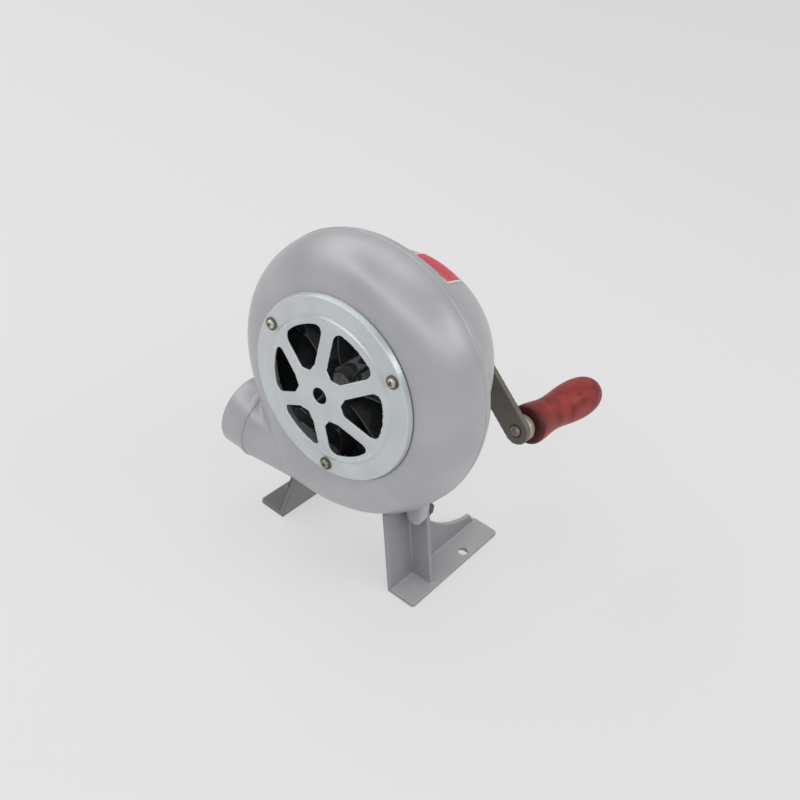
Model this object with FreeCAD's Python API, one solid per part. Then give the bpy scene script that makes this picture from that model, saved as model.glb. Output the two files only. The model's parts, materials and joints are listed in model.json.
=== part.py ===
import FreeCAD, Part
import math
import os

# Hand crank fan: a small cast centrifugal blower with a crank and a step-up gear train.
# Millimetres, +Z up. The fan axis runs along Y, the inlet faces -Y and the outlet faces -X.
# The origin is on the floor, midway between the two bolt holes in the feet.

V = FreeCAD.Vector

# Height of the fan axis above the floor, and how far the inlet face is ahead of the foot bolts
axis_height = 152.0
inlet_to_bolts = 86.0

# Scroll casing
casing_radius = 88.0
scroll_radius = 104.0
casing_depth = 44.0
casing_wall = 3.0
front_rounding = 28.0
rear_rounding = 17.0
rear_trim = 2.0
cutoff_flat = 12.2
cutoff_rounding = 32.0
rear_flange = 6.0
rear_chamfer = 9.0
rear_opening_margin = 1.8
inlet_opening_radius = 48.0
spigot_radius = 57.0

# Outlet
outlet_radius = 25.5
outlet_wall = 2.8
outlet_reach = 89.0
collar_reach = 75.0
collar_radius = 26.6
outlet_bore_depth = 25.0
duct_root_radius = 20.0
duct_root_reach = 20.0
duct_root_inset = 3.0
duct_clearance = 0.3

# Inlet cover, a pressed sheet with six windows
cover_radius = 60.0
cover_sheet = 1.2
cover_wall_height = 4.0
cover_wall_lean = 1.2
cover_step_radius = 46.0
cover_step_width = 1.6
cover_step_height = 1.4
hub_face_radius = 19.0
hub_face_height = 12.2
hub_hole_radius = 5.3
window_count = 6
window_outer_radius = 42.4
window_tip_radius = 16.2
window_shoulder_radius = 20.0
window_corner = 4.5
window_tip_corner = 1.0
spoke_width = 9.0
spoke_angle = 34.5
cover_screw_circle = 53.3
cover_screw_radius = 2.0
cover_screw_count = 3
cover_washer_radius = 4.2
cover_washer_thickness = 0.8
cover_head_radius = 3.4
cover_head_height = 2.4

# Back plate
back_plate_thickness = 4.0
back_plate_head_radius = 3.0
back_plate_head_height = 2.0
back_plate_thread_depth = 6.0
back_plate_screw_radius = 2.0
back_plate_screw_spacing = 50.0
back_plate_round_screws = 5
back_plate_low_angle = -86.0
back_plate_head_room = 1.2
fan_boss_radius = 14.0
fan_boss_front = 9.0
fan_boss_rear = 2.0
case_screw_boss = 3.0
axle_seat = 1.0

# Gear case, a bell shaped casting
case_mouth_radius = 75.0
case_shoulder_inset = 8.5
case_shoulder_reach = 21.5
case_rim_inset = 22.5
case_depth = 43.0
case_rim_rounding = 3.0
case_wall = 3.0
case_boss_radius = 15.0
case_boss_reach = 19.0
case_boss_inset = 6.0
pillar_circle = 41.0
pillar_radius = 5.5
pillar_count = 3
pillar_first_angle = 30.0
case_screw_radius = 2.0
case_head_radius = 3.6
case_head_height = 2.6
axle_boss_radius = 7.0
axle_boss_inset = 9.0
axle_cover = 4.0

# Gears: crank gear to idler pinion, then idler gear to fan pinion
module = 1.25
wheel_teeth = 42
pinion_teeth = 12
pressure_angle = 25.0
addendum = 0.92
dedendum = 1.2
backlash = 0.16
gear_face = 8.0
gear_gap = 2.4
wheel_rim = 5.0
wheel_hub = 5.0
wheel_recess = 2.0
idler_angle = 90.0

# Shafts and bushes
fan_shaft_radius = 5.0
fan_bush_radius = 8.0
thrust_washer_radius = 9.0
crank_shaft_radius = 6.0
crank_bush_radius = 9.0
bush_flange_radius = 12.0
crank_spacer_wall = 2.5
bush_flange = 2.0
idler_axle_radius = 4.0
idler_sleeve_radius = 8.0
idler_collar_radius = 5.5
running_clearance = 0.05
side_clearance = 0.4
seat_clearance = 0.05
seat_gap = 0.2
screw_clearance = 0.3

# Impeller
impeller_radius = 62.0
impeller_sheet = 1.2
impeller_rear_gap = 2.6
impeller_hub_radius = 12.0
impeller_hub_length = 19.0
impeller_nose_radius = 9.0
impeller_hub_collar = 5.0
blade_count = 8
blade_root_radius = 14.0
blade_height = 26.0
blade_tip_height = 19.0
blade_curve_radius = 70.0
blade_foot = 7.0
blade_tip_inset = 1.0
blade_slope_start = 14.0
fan_nut_height = 6.0
fan_nut_flats = 13.0
fan_thread_radius = 4.0
thread_end = 2.0

# Crank and handle
crank_radius = 86.0
crank_angle = -35.0
arm_width = 19.5
arm_thickness = 4.0
arm_lean = 6.5
arm_bend_reach = 16.0
arm_standoff = 26.5
crank_collar_radius = 9.5
crank_square = 9.0
crank_thread_radius = 4.0
crank_nut_height = 6.5
crank_nut_flats = 13.0
crank_washer_radius = 9.0
crank_washer_thickness = 1.4
spindle_radius = 3.95
spindle_length = 58.0
rivet_head_radius = 4.6
rivet_face_radius = 2.4
rivet_head_height = 2.6
handle_collar_radius = 9.2
handle_collar_length = 6.0
handle_washer_radius = 8.0
handle_washer_thickness = 1.0
grip_length = 76.0
grip_base_radius = 13.4
grip_base_rounding = 2.5
grip_waist_radius = 11.6
grip_waist_reach = 19.0
grip_swell_radius = 13.7
grip_swell_reach = 52.0
grip_end_play = 0.6

# How strongly the grip's line keeps its direction at the base and at the tip
grip_base_pull = 0.8
grip_tip_pull = 1.4

# Feet
foot_overhang = 22.5
foot_width = 22.0
foot_length = 100.0
foot_front = 20.5
foot_thickness = 3.0
foot_corner = 2.5
foot_lean = 0.235
web_thickness = 3.2
cross_web_width = 19.0
right_web_height = 60.5
left_web_height = 46.5
web_tail_height = 9.0
web_middle_height = 24.0
web_middle_reach = 55.0
web_tail_reach = 94.0
web_tail_run = 4.0
bolt_hole_inset = 6.3
bolt_hole_radius = 3.5
lug_inset = 9.5
lug_radius = 6.5
lug_thickness = 8.0
foot_screw_radius = 3.0
foot_screw_depth = 5.5
foot_washer_radius = 6.2
foot_washer_thickness = 1.2
foot_washer_room = 1.1
foot_screw_flats = 10.0
foot_screw_head = 4.0

# Label on the gear case, left bare
label_first_angle = 65.0
label_span = 48.0
label_front = 9.0
label_rear = 31.0
label_thickness = 0.5

# How far a cutting tool runs past what it cuts, far from and close to other walls
reach_past = 20.0
overcut = 1.0

# Worked out from the sizes above, as distances behind the inlet face
front_y = -inlet_to_bolts
back_face = casing_depth + back_plate_thickness
case_back = back_face + case_depth
pitch_centres = module * (wheel_teeth + pinion_teeth) / 2
first_gear = back_face + fan_boss_rear + bush_flange + side_clearance
second_gear = first_gear + gear_face + gear_gap
arm_face = case_back + arm_standoff
volute_shift = scroll_radius - casing_radius
lug_drop = scroll_radius - lug_inset
back_screw_circle = case_mouth_radius - case_wall - back_plate_head_radius - back_plate_head_room
rear_opening_radius = back_screw_circle - back_plate_screw_radius - rear_opening_margin


def at(x, depth, z):
    """A point x and z from the fan axis, at a depth behind the inlet face."""
    return V(x, front_y + depth, axis_height + z)


def polar(radius, degrees):
    a = math.radians(degrees)
    return radius * math.cos(a), radius * math.sin(a)


def cylinder(radius, start, end, x=0.0, z=0.0):
    return Part.makeCylinder(radius, end - start, at(x, start, z), V(0, 1, 0))


def tube(outer, inner, start, end, x=0.0, z=0.0):
    return cylinder(outer, start, end, x, z).cut(cylinder(inner, start - 1, end + 1, x, z))


def revolve(edges):
    """A solid of revolution about the fan axis, from edges in the plane of the axis and +X."""
    face = Part.Face(Part.Wire(edges))
    return face.revolve(at(0, 0, 0), V(0, 1, 0), 360)


def line(p, q):
    return Part.LineSegment(p, q).toShape()


def arc(p, q, r):
    return Part.Arc(p, q, r).toShape()


def polygon_edges(points):
    return [line(points[i], points[(i + 1) % len(points)]) for i in range(len(points))]


def prism(points, depth):
    """Extrude a closed outline of points along +Y."""
    return Part.Face(Part.Wire(polygon_edges(points))).extrude(V(0, depth, 0))


def hexagon(flats, start, end, x=0.0, z=0.0):
    points = [polar(flats / math.sqrt(3), 60 * i + 30) for i in range(6)]
    return prism([at(x + px, start, z + pz) for px, pz in points], end - start)


def fan_copies(shape, count, first=0.0):
    """Copies of a shape turned about the fan axis."""
    copies = []
    for i in range(count):
        copy = shape.copy()
        copy.rotate(at(0, 0, 0), V(0, -1, 0), first + 360.0 / count * i)
        copies.append(copy)
    return copies


def screw(radius, head_radius, head_height, seat, end, x, z):
    """A cheese head screw along Y: its head seats at one depth and its shank ends at another."""
    outward = -1 if end > seat else 1
    low, high = sorted((seat, end))
    shank = cylinder(radius, low, high, x, z)
    low, high = sorted((seat, seat + outward * head_height))
    return shank.fuse(cylinder(head_radius, low, high, x, z)).removeSplitter()


# Scroll outline: a round body, a larger arc at lower right, a straight bottom and a rounded cutoff.
# The straight side of the cutoff touches both the round body and the cutoff's rounding.
straight_down = 270


def cutoff_centre():
    return -volute_shift - cutoff_flat, -scroll_radius + cutoff_rounding


def scroll_outline(inset, depth):
    radius = casing_radius - inset
    wide = scroll_radius - inset
    rounding = cutoff_rounding - inset
    x, z = cutoff_centre()
    swing = math.acos((casing_radius - cutoff_rounding) / math.hypot(x, z))
    touch = 360 + math.degrees(math.atan2(z, x) - swing)
    middle = (touch + straight_down) / 2

    def on_body(degrees):
        px, pz = polar(radius, degrees)
        return at(px, depth, pz)

    def on_rounding(degrees):
        px, pz = polar(rounding, degrees)
        return at(x + px, depth, z + pz)

    low = at(-volute_shift, depth, -wide)
    half_x, half_z = polar(wide, -45)
    edges = [
        arc(low, at(half_x - volute_shift, depth, half_z), on_body(0)),
        arc(on_body(0), on_body(90), on_body(touch)),
        line(on_body(touch), on_rounding(touch)),
        arc(on_rounding(touch), on_rounding(middle), on_rounding(straight_down)),
        line(on_rounding(straight_down), low),
    ]
    return Part.Wire(edges)


def scroll_body(inset, start, end):
    """The scroll as a solid between two depths, with square edges."""
    return Part.Face(scroll_outline(inset, start)).extrude(V(0, end - start, 0))


def edges_at(solid, depth):
    """The edges of a solid that lie flat at a depth."""
    level = front_y + depth
    return [e for e in solid.Edges if max(abs(e.BoundBox.YMin - level), abs(e.BoundBox.YMax - level)) < 1e-4]


def outlet_centre():
    return casing_depth / 2, -scroll_radius + collar_radius


def along_outlet(radius, near, far):
    depth, z = outlet_centre()
    return Part.makeCylinder(radius, far - near, at(-near, depth, z), V(-1, 0, 0))


def duct_cone(inset):
    """The discharge cone, widening from inside the scroll to the collar, level along the bottom."""
    depth, z = outlet_centre()
    root_depth = duct_root_inset + duct_root_radius
    root = at(-duct_root_reach, root_depth, -scroll_radius + root_depth)
    run = at(-collar_reach, depth, z) - root
    widening = (collar_radius - duct_root_radius) / run.Length
    far_radius = collar_radius - inset + widening * reach_past
    cone = Part.makeCone(duct_root_radius - inset, far_radius, run.Length + reach_past, root, run)
    beyond = Part.makeBox(2 * reach_past, 4 * collar_radius, 4 * collar_radius,
                          at(-collar_reach - 2 * reach_past, depth - 2 * collar_radius, z - 2 * collar_radius))
    return cone.cut(beyond)


def lug_spread():
    """How far the foot screws stand to each side, so that their washers clear the back plate."""
    clear = cutoff_rounding - rear_edge_inset() + foot_washer_radius + foot_washer_room
    x, z = cutoff_centre()
    return math.sqrt(clear ** 2 - (z + lug_drop) ** 2) - x


def lug(side, start, end):
    """A tab that hangs from the casing's rear flange and ends in a half round about a foot screw."""
    x = side * lug_spread()
    tab = cylinder(lug_radius, start, end, x, -lug_drop)
    rise = lug_drop - rear_opening_radius
    return tab.fuse(Part.makeBox(2 * lug_radius, end - start, rise, at(x - lug_radius, start, -lug_drop)))


def make_scroll_casing():
    rear = casing_depth + rear_trim
    outer = scroll_body(0, 0, rear)
    outer = outer.makeFillet(front_rounding, edges_at(outer, 0))
    outer = outer.makeFillet(rear_rounding, edges_at(outer, rear))
    span = 2 * scroll_radius
    trim = Part.makeBox(2 * span, reach_past, 2 * span, at(-span, casing_depth, -span))
    outer = outer.cut(trim)
    outer = outer.fuse([duct_cone(0), along_outlet(outlet_radius, collar_reach - overcut, outlet_reach),
                        cylinder(spigot_radius, cover_sheet - cover_wall_height, casing_wall)])
    for side in (-1, 1):
        outer = outer.fuse(lug(side, casing_depth - lug_thickness, casing_depth))
    inside_end = casing_depth - rear_flange
    inside = scroll_body(casing_wall, casing_wall, inside_end)
    inside = inside.makeFillet(front_rounding - casing_wall, edges_at(inside, casing_wall))
    inside = inside.makeChamfer(rear_chamfer, edges_at(inside, inside_end))
    opening = cylinder(rear_opening_radius, front_rounding, casing_depth + overcut)
    shell = outer.cut(inside.fuse(opening))
    bore = outlet_radius - outlet_wall
    shell = shell.cut(duct_cone(collar_radius - bore))
    shell = shell.cut(along_outlet(bore, outlet_reach - outlet_bore_depth, outlet_reach + overcut))
    shell = shell.cut(cylinder(inlet_opening_radius, -reach_past, front_rounding))
    for x, z in cover_screw_places():
        shell = shell.cut(cylinder(cover_screw_radius + seat_clearance, -reach_past, front_rounding, x, z))
    for x, z in back_screw_places():
        hole = cylinder(back_plate_screw_radius + seat_clearance, inside_end - overcut, casing_depth + overcut, x, z)
        shell = shell.cut(hole)
    for side in (-1, 1):
        hole = cylinder(foot_screw_radius + seat_clearance, casing_depth - foot_screw_depth - side_clearance,
                        casing_depth + overcut, side * lug_spread(), -lug_drop)
        shell = shell.cut(hole)
    return shell.removeSplitter()


def cover_screw_places():
    step = 360 / cover_screw_count
    return [polar(cover_screw_circle, spoke_angle + step * i) for i in range(cover_screw_count)]


def plate_edge(degrees):
    """How far the back plate's edge is from the fan axis, in a direction towards the larger arc."""
    aside = -volute_shift * math.cos(math.radians(degrees))
    rim = scroll_radius - rear_edge_inset()
    return aside + math.sqrt(aside ** 2 + rim ** 2 - volute_shift ** 2)


def back_screw_places():
    """Five inside the gear case, and one low down, halfway from the gear case to the plate's edge."""
    places = [polar(back_screw_circle, back_plate_screw_spacing * i) for i in range(back_plate_round_screws)]
    halfway = (case_mouth_radius + plate_edge(back_plate_low_angle)) / 2
    return places + [polar(halfway, back_plate_low_angle)]


# Inlet cover
def make_inlet_cover():
    """A pressed sheet: its front line, and its back line a sheet's thickness behind."""
    lip = cover_radius
    face = cover_radius - cover_wall_lean
    step = cover_step_radius
    sheet = cover_sheet
    wall = cover_wall_height
    step_foot = step - cover_step_width
    front = [(lip, 0), (face, -wall), (step, -wall), (step_foot, -wall - cover_step_height),
             (hub_face_radius, -hub_face_height), (hub_hole_radius, -hub_face_height)]
    back = [(hub_hole_radius, sheet - hub_face_height), (hub_face_radius, sheet - hub_face_height),
            (step_foot, sheet - wall - cover_step_height), (step, sheet - wall),
            (face - sheet, sheet - wall), (lip - sheet, 0)]
    points = [at(r, d, 0) for r, d in front + back]
    sheet_solid = revolve(polygon_edges(points))
    window = make_window()
    first = spoke_angle + 180 / window_count
    sheet_solid = sheet_solid.cut(Part.makeCompound(fan_copies(window, window_count, first)))
    for x, z in cover_screw_places():
        sheet_solid = sheet_solid.cut(cylinder(cover_screw_radius + screw_clearance, -reach_past, reach_past, x, z))
    return sheet_solid


def make_window():
    """One window, centred on +X: sides level with the spokes and a blunt point to the hub."""
    start = -hub_face_height - overcut
    half = 180 / window_count

    def side_point(radius, sign):
        swing = half - math.degrees(math.asin(spoke_width / 2 / radius))
        x, z = polar(radius, sign * swing)
        return at(x, start, z)

    tip = at(window_tip_radius, start, 0)
    low = side_point(window_shoulder_radius, -1)
    high = side_point(window_shoulder_radius, 1)
    low_out = side_point(window_outer_radius, -1)
    high_out = side_point(window_outer_radius, 1)
    edges = [
        line(tip, low),
        line(low, low_out),
        arc(low_out, at(window_outer_radius, start, 0), high_out),
        line(high_out, high),
        line(high, tip),
    ]
    block = Part.Face(Part.Wire(edges)).extrude(V(0, overcut - start, 0))
    middle = (window_shoulder_radius + window_outer_radius) / 2
    block = block.makeFillet(window_corner, uprights(block, middle, window_outer_radius + overcut))
    return block.makeFillet(window_tip_corner, uprights(block, 0, middle))


def uprights(solid, nearest, farthest):
    """The straight edges along Y whose distance from the fan axis is between two radii."""
    found = []
    for e in solid.Edges:
        p = e.Vertexes[0].Point
        box = e.BoundBox
        if box.XLength + box.ZLength < 1e-6 and nearest < math.hypot(p.x, p.z - axis_height) < farthest:
            found.append(e)
    return found


def make_cover_screws():
    seat = -cover_wall_height - cover_washer_thickness
    end = casing_wall + 1
    return Part.makeCompound([screw(cover_screw_radius, cover_head_radius, cover_head_height, seat, end, x, z)
                              for x, z in cover_screw_places()])


def make_cover_washers():
    low = -cover_wall_height - cover_washer_thickness
    return Part.makeCompound([tube(cover_washer_radius, cover_screw_radius + screw_clearance, low, -cover_wall_height, x, z)
                              for x, z in cover_screw_places()])


# Back plate
def rear_edge_inset():
    """How far the trimmed rear edge of the scroll is inside its widest line."""
    behind = rear_rounding - rear_trim
    return rear_rounding - math.sqrt(rear_rounding ** 2 - behind ** 2)


def make_back_plate():
    """A plate in the outline of the casing's rear edge, with bosses for the fan, the idler and the screws."""
    outline = scroll_outline(rear_edge_inset(), casing_depth)
    plate = Part.Face(outline).extrude(V(0, back_plate_thickness, 0))
    plate = plate.cut(duct_cone(-duct_clearance))
    boss_end = back_face + fan_boss_rear
    ax, az = polar(pitch_centres, idler_angle)
    bosses = [cylinder(fan_boss_radius, casing_depth - fan_boss_front, boss_end),
              cylinder(axle_boss_radius, casing_depth, boss_end, ax, az)]
    for x, z in pillar_places():
        bosses.append(cylinder(pillar_radius, casing_depth - case_screw_boss, back_face, x, z))
    plate = plate.fuse(bosses)
    for x, z in pillar_places():
        hole_start = casing_depth - case_screw_boss + overcut
        plate = plate.cut(cylinder(case_screw_radius + seat_clearance, hole_start, back_face + overcut, x, z))
    plate = plate.cut(cylinder(fan_bush_radius, 0, case_back))
    plate = plate.cut(cylinder(idler_axle_radius, casing_depth + axle_seat, case_back, ax, az))
    for x, z in back_screw_places():
        plate = plate.cut(cylinder(back_plate_screw_radius + screw_clearance, 0, case_back, x, z))
    return plate.removeSplitter()


def make_back_plate_screws():
    end = casing_depth - back_plate_thread_depth
    return Part.makeCompound([screw(back_plate_screw_radius, back_plate_head_radius, back_plate_head_height,
                                    back_face, end, x, z)
                              for x, z in back_screw_places()])


# Gear case
def pillar_places():
    return [polar(pillar_circle, pillar_first_angle + 360 / pillar_count * i) for i in range(pillar_count)]


def bell_curve():
    """The circle that the bell's side follows, in the plane of the axis and +X."""
    return Part.Arc(at(case_mouth_radius, back_face, 0),
                    at(case_mouth_radius - case_shoulder_inset, back_face + case_shoulder_reach, 0),
                    at(case_mouth_radius - case_rim_inset, case_back, 0)).toShape().Curve


def curve_at(circle, depth, inset=0.0):
    """The point at a depth on a circle in the plane of the axis, drawn in by an inset."""
    radius = circle.Radius - inset
    rise = front_y + depth - circle.Center.y
    return V(circle.Center.x + math.sqrt(radius ** 2 - rise ** 2), front_y + depth, axis_height)


def bell_inside():
    """The room inside the bell, with a sharp corner at its back."""
    circle = bell_curve()
    flat = case_back - case_wall
    mouth = curve_at(circle, back_face, case_wall)
    shoulder = curve_at(circle, back_face + case_shoulder_reach, case_wall)
    corner = curve_at(circle, flat, case_wall)
    return revolve([
        line(at(0, back_face, 0), mouth),
        arc(mouth, shoulder, corner),
        line(corner, at(0, flat, 0)),
        line(at(0, flat, 0), at(0, back_face, 0)),
    ])


def bell():
    """The bell as a solid, its side running into its flat back by a tangent rounding."""
    circle = bell_curve()
    rounding = case_rim_rounding
    middle = curve_at(circle, case_back - rounding, rounding)
    side = middle - circle.Center
    side.normalize()
    half_way = side + V(0, 1, 0)
    half_way.normalize()
    mouth = curve_at(circle, back_face)
    shoulder = curve_at(circle, back_face + case_shoulder_reach)
    return revolve([
        line(at(0, back_face, 0), mouth),
        arc(mouth, shoulder, middle + side * rounding),
        arc(middle + side * rounding, middle + half_way * rounding, middle + V(0, rounding, 0)),
        line(middle + V(0, rounding, 0), at(0, case_back, 0)),
        line(at(0, case_back, 0), at(0, back_face, 0)),
    ])


def make_gear_case():
    """The bell, hollow, with a boss for the crank bush, a seat for the idler axle and screw pillars."""
    outer = bell().fuse(cylinder(case_boss_radius, case_back - case_wall, case_back + case_boss_reach))
    ax, az = polar(pitch_centres, idler_angle)
    inner_face = case_back - case_wall
    keep = [cylinder(case_boss_radius, inner_face - case_boss_inset, case_back),
            cylinder(axle_boss_radius, inner_face - axle_boss_inset, case_back, ax, az)]
    for x, z in pillar_places():
        keep.append(cylinder(pillar_radius, back_face, case_back, x, z))
    case = outer.cut(bell_inside().cut(Part.makeCompound(keep)))
    case = case.cut(cylinder(crank_bush_radius, back_face, case_back + case_boss_reach + overcut))
    case = case.cut(cylinder(idler_axle_radius, back_face, case_back - axle_cover, ax, az))
    for x, z in pillar_places():
        case = case.cut(cylinder(case_screw_radius + screw_clearance, back_face - overcut, case_back + overcut, x, z))
    return case.removeSplitter()


def make_case_screws():
    end = casing_depth - case_screw_boss + 2 * overcut
    return Part.makeCompound([screw(case_screw_radius, case_head_radius, case_head_height, case_back, end, x, z)
                              for x, z in pillar_places()])


def make_label():
    """A thin plate that follows the bell between two depths, over part of its round."""
    circle = bell_curve()
    reaches = (label_front, (label_front + label_rear) / 2, label_rear)
    seat = [curve_at(circle, back_face + reach) for reach in reaches]
    face = [curve_at(circle, back_face + reach, -label_thickness) for reach in reaches]
    edges = [arc(*seat), line(seat[2], face[2]), arc(face[2], face[1], face[0]), line(face[0], seat[0])]
    face = Part.Face(Part.Wire(edges))
    plate = face.revolve(at(0, 0, 0), V(0, -1, 0), label_span)
    plate.rotate(at(0, 0, 0), V(0, -1, 0), label_first_angle)
    return plate


# Gears
def involute(base, radius):
    """Polar angle, in radians, that an involute has turned through at a radius."""
    roll = math.sqrt((radius / base) ** 2 - 1)
    return roll - math.atan(roll)


def gear(teeth, start, width, centre_x, centre_z, phase):
    """A spur gear along Y. Each flank is one arc through three points of its involute."""
    pitch = module * teeth / 2
    base = pitch * math.cos(math.radians(pressure_angle))
    tip = pitch + addendum * module
    root = pitch - dedendum * module
    foot = max(root, base)
    half = math.pi / 2 / teeth - backlash / 4 / pitch
    centre = at(centre_x, start, centre_z)

    def point(radius, angle):
        return centre + V(radius * math.cos(angle), 0, radius * math.sin(angle))

    def swing(radius):
        return half + involute(base, pitch) - involute(base, radius)

    edges = []
    step = 2 * math.pi / teeth
    middle = (foot + tip) / 2
    for i in range(teeth):
        c = math.radians(phase) + i * step
        n = c + step
        if foot > root:
            edges.append(line(point(root, c - swing(foot)), point(foot, c - swing(foot))))
        edges.append(arc(point(foot, c - swing(foot)), point(middle, c - swing(middle)), point(tip, c - swing(tip))))
        edges.append(line(point(tip, c - swing(tip)), point(tip, c + swing(tip))))
        edges.append(arc(point(tip, c + swing(tip)), point(middle, c + swing(middle)), point(foot, c + swing(foot))))
        if foot > root:
            edges.append(line(point(foot, c + swing(foot)), point(root, c + swing(foot))))
        edges.append(line(point(root, c + swing(foot)), point(root, n - swing(foot))))
    return Part.Face(Part.Wire(edges)).extrude(V(0, width, 0))


def make_wheel(start, x, z, bore, phase):
    """A large gear, with its web turned thinner between the hub and the rim on both sides."""
    wheel = gear(wheel_teeth, start, gear_face, x, z, phase)
    rim_in = module * wheel_teeth / 2 - wheel_rim
    hub = bore + wheel_hub
    wheel = wheel.cut(tube(rim_in, hub, start - overcut, start + wheel_recess, x, z))
    wheel = wheel.cut(tube(rim_in, hub, start + gear_face - wheel_recess, start + gear_face + overcut, x, z))
    return wheel.cut(cylinder(bore, start - 1, start + gear_face + 1, x, z))


def make_pinion(start, x, z, bore, phase, width):
    return gear(pinion_teeth, start, width, x, z, phase).cut(cylinder(bore, start - 1, start + width + 1, x, z))


def facing_phase(teeth, direction):
    """The phase of a gear with a space, not a tooth, facing a direction, where its mate's tooth meets it."""
    return direction + 180 / teeth


def make_fan_pinion():
    return make_pinion(first_gear, 0, 0, fan_shaft_radius, facing_phase(pinion_teeth, idler_angle), gear_face)


def make_idler_gear():
    x, z = polar(pitch_centres, idler_angle)
    return make_wheel(first_gear, x, z, idler_sleeve_radius, idler_angle + 180)


def make_idler_pinion():
    """The small gear with the sleeve that carries the large one, and a collar on its other side."""
    x, z = polar(pitch_centres, idler_angle)
    bore = idler_axle_radius + running_clearance
    start = first_gear + gear_face + side_clearance
    end = second_gear + gear_face
    teeth = make_pinion(start, x, z, bore, facing_phase(pinion_teeth, idler_angle + 180), end - start)
    sleeve = tube(idler_sleeve_radius, bore, first_gear, start, x, z)
    collar_end = case_back - case_wall - axle_boss_inset - side_clearance
    return teeth.fuse([sleeve, tube(idler_collar_radius, bore, end, collar_end, x, z)])


def make_crank_gear():
    return make_wheel(second_gear, 0, 0, crank_shaft_radius, idler_angle)


def make_crank_spacer():
    """A sleeve that keeps the crank gear off the bush."""
    end = case_back - case_wall - case_boss_inset - bush_flange - side_clearance
    return turned(tube(crank_shaft_radius + crank_spacer_wall, crank_shaft_radius, second_gear + gear_face, end))


def make_idler_axle():
    x, z = polar(pitch_centres, idler_angle)
    return cylinder(idler_axle_radius, casing_depth + axle_seat, case_back - axle_cover, x, z)


# Shafts and bushes
def make_fan_bush():
    start = casing_depth - fan_boss_front
    end = back_face + fan_boss_rear
    body = cylinder(fan_bush_radius, start, end)
    body = body.fuse(cylinder(bush_flange_radius, end, end + bush_flange))
    return body.cut(cylinder(fan_shaft_radius + running_clearance, 0, case_back))


def impeller_back():
    return casing_depth - fan_boss_front - impeller_rear_gap


def hub_nose():
    return impeller_back() - impeller_hub_length


def make_fan_shaft():
    shaft = cylinder(fan_shaft_radius, hub_nose(), first_gear + gear_face)
    thread = cylinder(fan_thread_radius, hub_nose() - fan_nut_height - thread_end, hub_nose())
    return shaft.fuse(thread).removeSplitter()


def make_fan_nut():
    nut = hexagon(fan_nut_flats, hub_nose() - fan_nut_height, hub_nose())
    return nut.cut(cylinder(fan_thread_radius, hub_nose() - reach_past, hub_nose() + overcut))


def make_fan_thrust_washer():
    """A ring that takes up the room between the impeller hub and the bush."""
    start = impeller_back()
    return tube(thrust_washer_radius, fan_shaft_radius, start, start + impeller_rear_gap - side_clearance)


def make_impeller_hub():
    """A hub that is round behind and tapers towards its nose."""
    start = hub_nose()
    end = impeller_back()
    cone_end = end - impeller_hub_collar
    hub = revolve([
        line(at(0, start, 0), at(impeller_nose_radius, start, 0)),
        line(at(impeller_nose_radius, start, 0), at(impeller_hub_radius, cone_end, 0)),
        line(at(impeller_hub_radius, cone_end, 0), at(impeller_hub_radius, end, 0)),
        line(at(impeller_hub_radius, end, 0), at(0, end, 0)),
        line(at(0, end, 0), at(0, start, 0)),
    ])
    return hub.cut(cylinder(fan_shaft_radius, start - overcut, end + overcut))


def make_impeller_disc():
    end = impeller_back()
    return tube(impeller_radius, impeller_hub_radius, end - impeller_sheet, end)


def make_blades():
    """Curved sheet blades, each with a foot bent flat against the disc and a corner cut off its tip."""
    seat = impeller_back() - impeller_sheet
    low = seat - blade_height
    root = blade_root_radius
    tip = impeller_radius - blade_tip_inset
    middle = (root + tip) / 2
    sag = blade_curve_radius - math.sqrt(blade_curve_radius ** 2 - ((tip - root) / 2) ** 2)

    def strip(width, start, height):
        edges = [
            arc(at(root, start, 0), at(middle, start, sag), at(tip, start, 0)),
            line(at(tip, start, 0), at(tip, start, width)),
            arc(at(tip, start, width), at(middle, start, sag + width), at(root, start, width)),
            line(at(root, start, width), at(root, start, 0)),
        ]
        return Part.Face(Part.Wire(edges)).extrude(V(0, height, 0))

    beyond = tip + overcut
    corner = Part.Face(Part.Wire(polygon_edges([
        at(root + blade_slope_start, low - overcut, -reach_past), at(beyond, low - overcut, -reach_past),
        at(beyond, seat - blade_tip_height, -reach_past)]))).extrude(V(0, 0, 2 * reach_past))
    tall = strip(impeller_sheet, low, blade_height).cut(corner)
    blade = tall.fuse(strip(blade_foot, seat - impeller_sheet, impeller_sheet)).removeSplitter()
    return Part.makeCompound(fan_copies(blade, blade_count))


# Crank and handle, first laid along +X, then turned to the angle in which the crank stands
def turned(shape):
    shape.rotate(at(0, 0, 0), V(0, -1, 0), crank_angle)
    return shape


def arm_tip():
    """Where the handle's axis leaves the arm's outer face, and its direction, before turning."""
    lean = math.radians(arm_lean)
    run = crank_radius - arm_bend_reach
    front = at(crank_radius, arm_face - run * math.tan(lean), 0)
    direction = V(math.sin(lean), math.cos(lean), 0)
    return front, direction


def make_crank_bush():
    start = case_back - case_wall - case_boss_inset
    end = case_back + case_boss_reach
    body = cylinder(crank_bush_radius, start, end)
    body = body.fuse([cylinder(bush_flange_radius, start - bush_flange, start)])
    return body.cut(cylinder(crank_shaft_radius + running_clearance, 0, end + overcut))


def make_crank_shaft():
    collar_start = case_back + case_boss_reach + side_clearance
    shaft = cylinder(crank_shaft_radius, second_gear, collar_start)
    collar = cylinder(crank_collar_radius, collar_start, arm_face)
    square = Part.makeBox(crank_square, arm_thickness, crank_square,
                          at(-crank_square / 2, arm_face, -crank_square / 2))
    end = arm_face + arm_thickness + crank_washer_thickness + crank_nut_height + thread_end
    thread = cylinder(crank_thread_radius, arm_face + arm_thickness, end)
    return turned(shaft.fuse([collar, square, thread]).removeSplitter())


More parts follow.
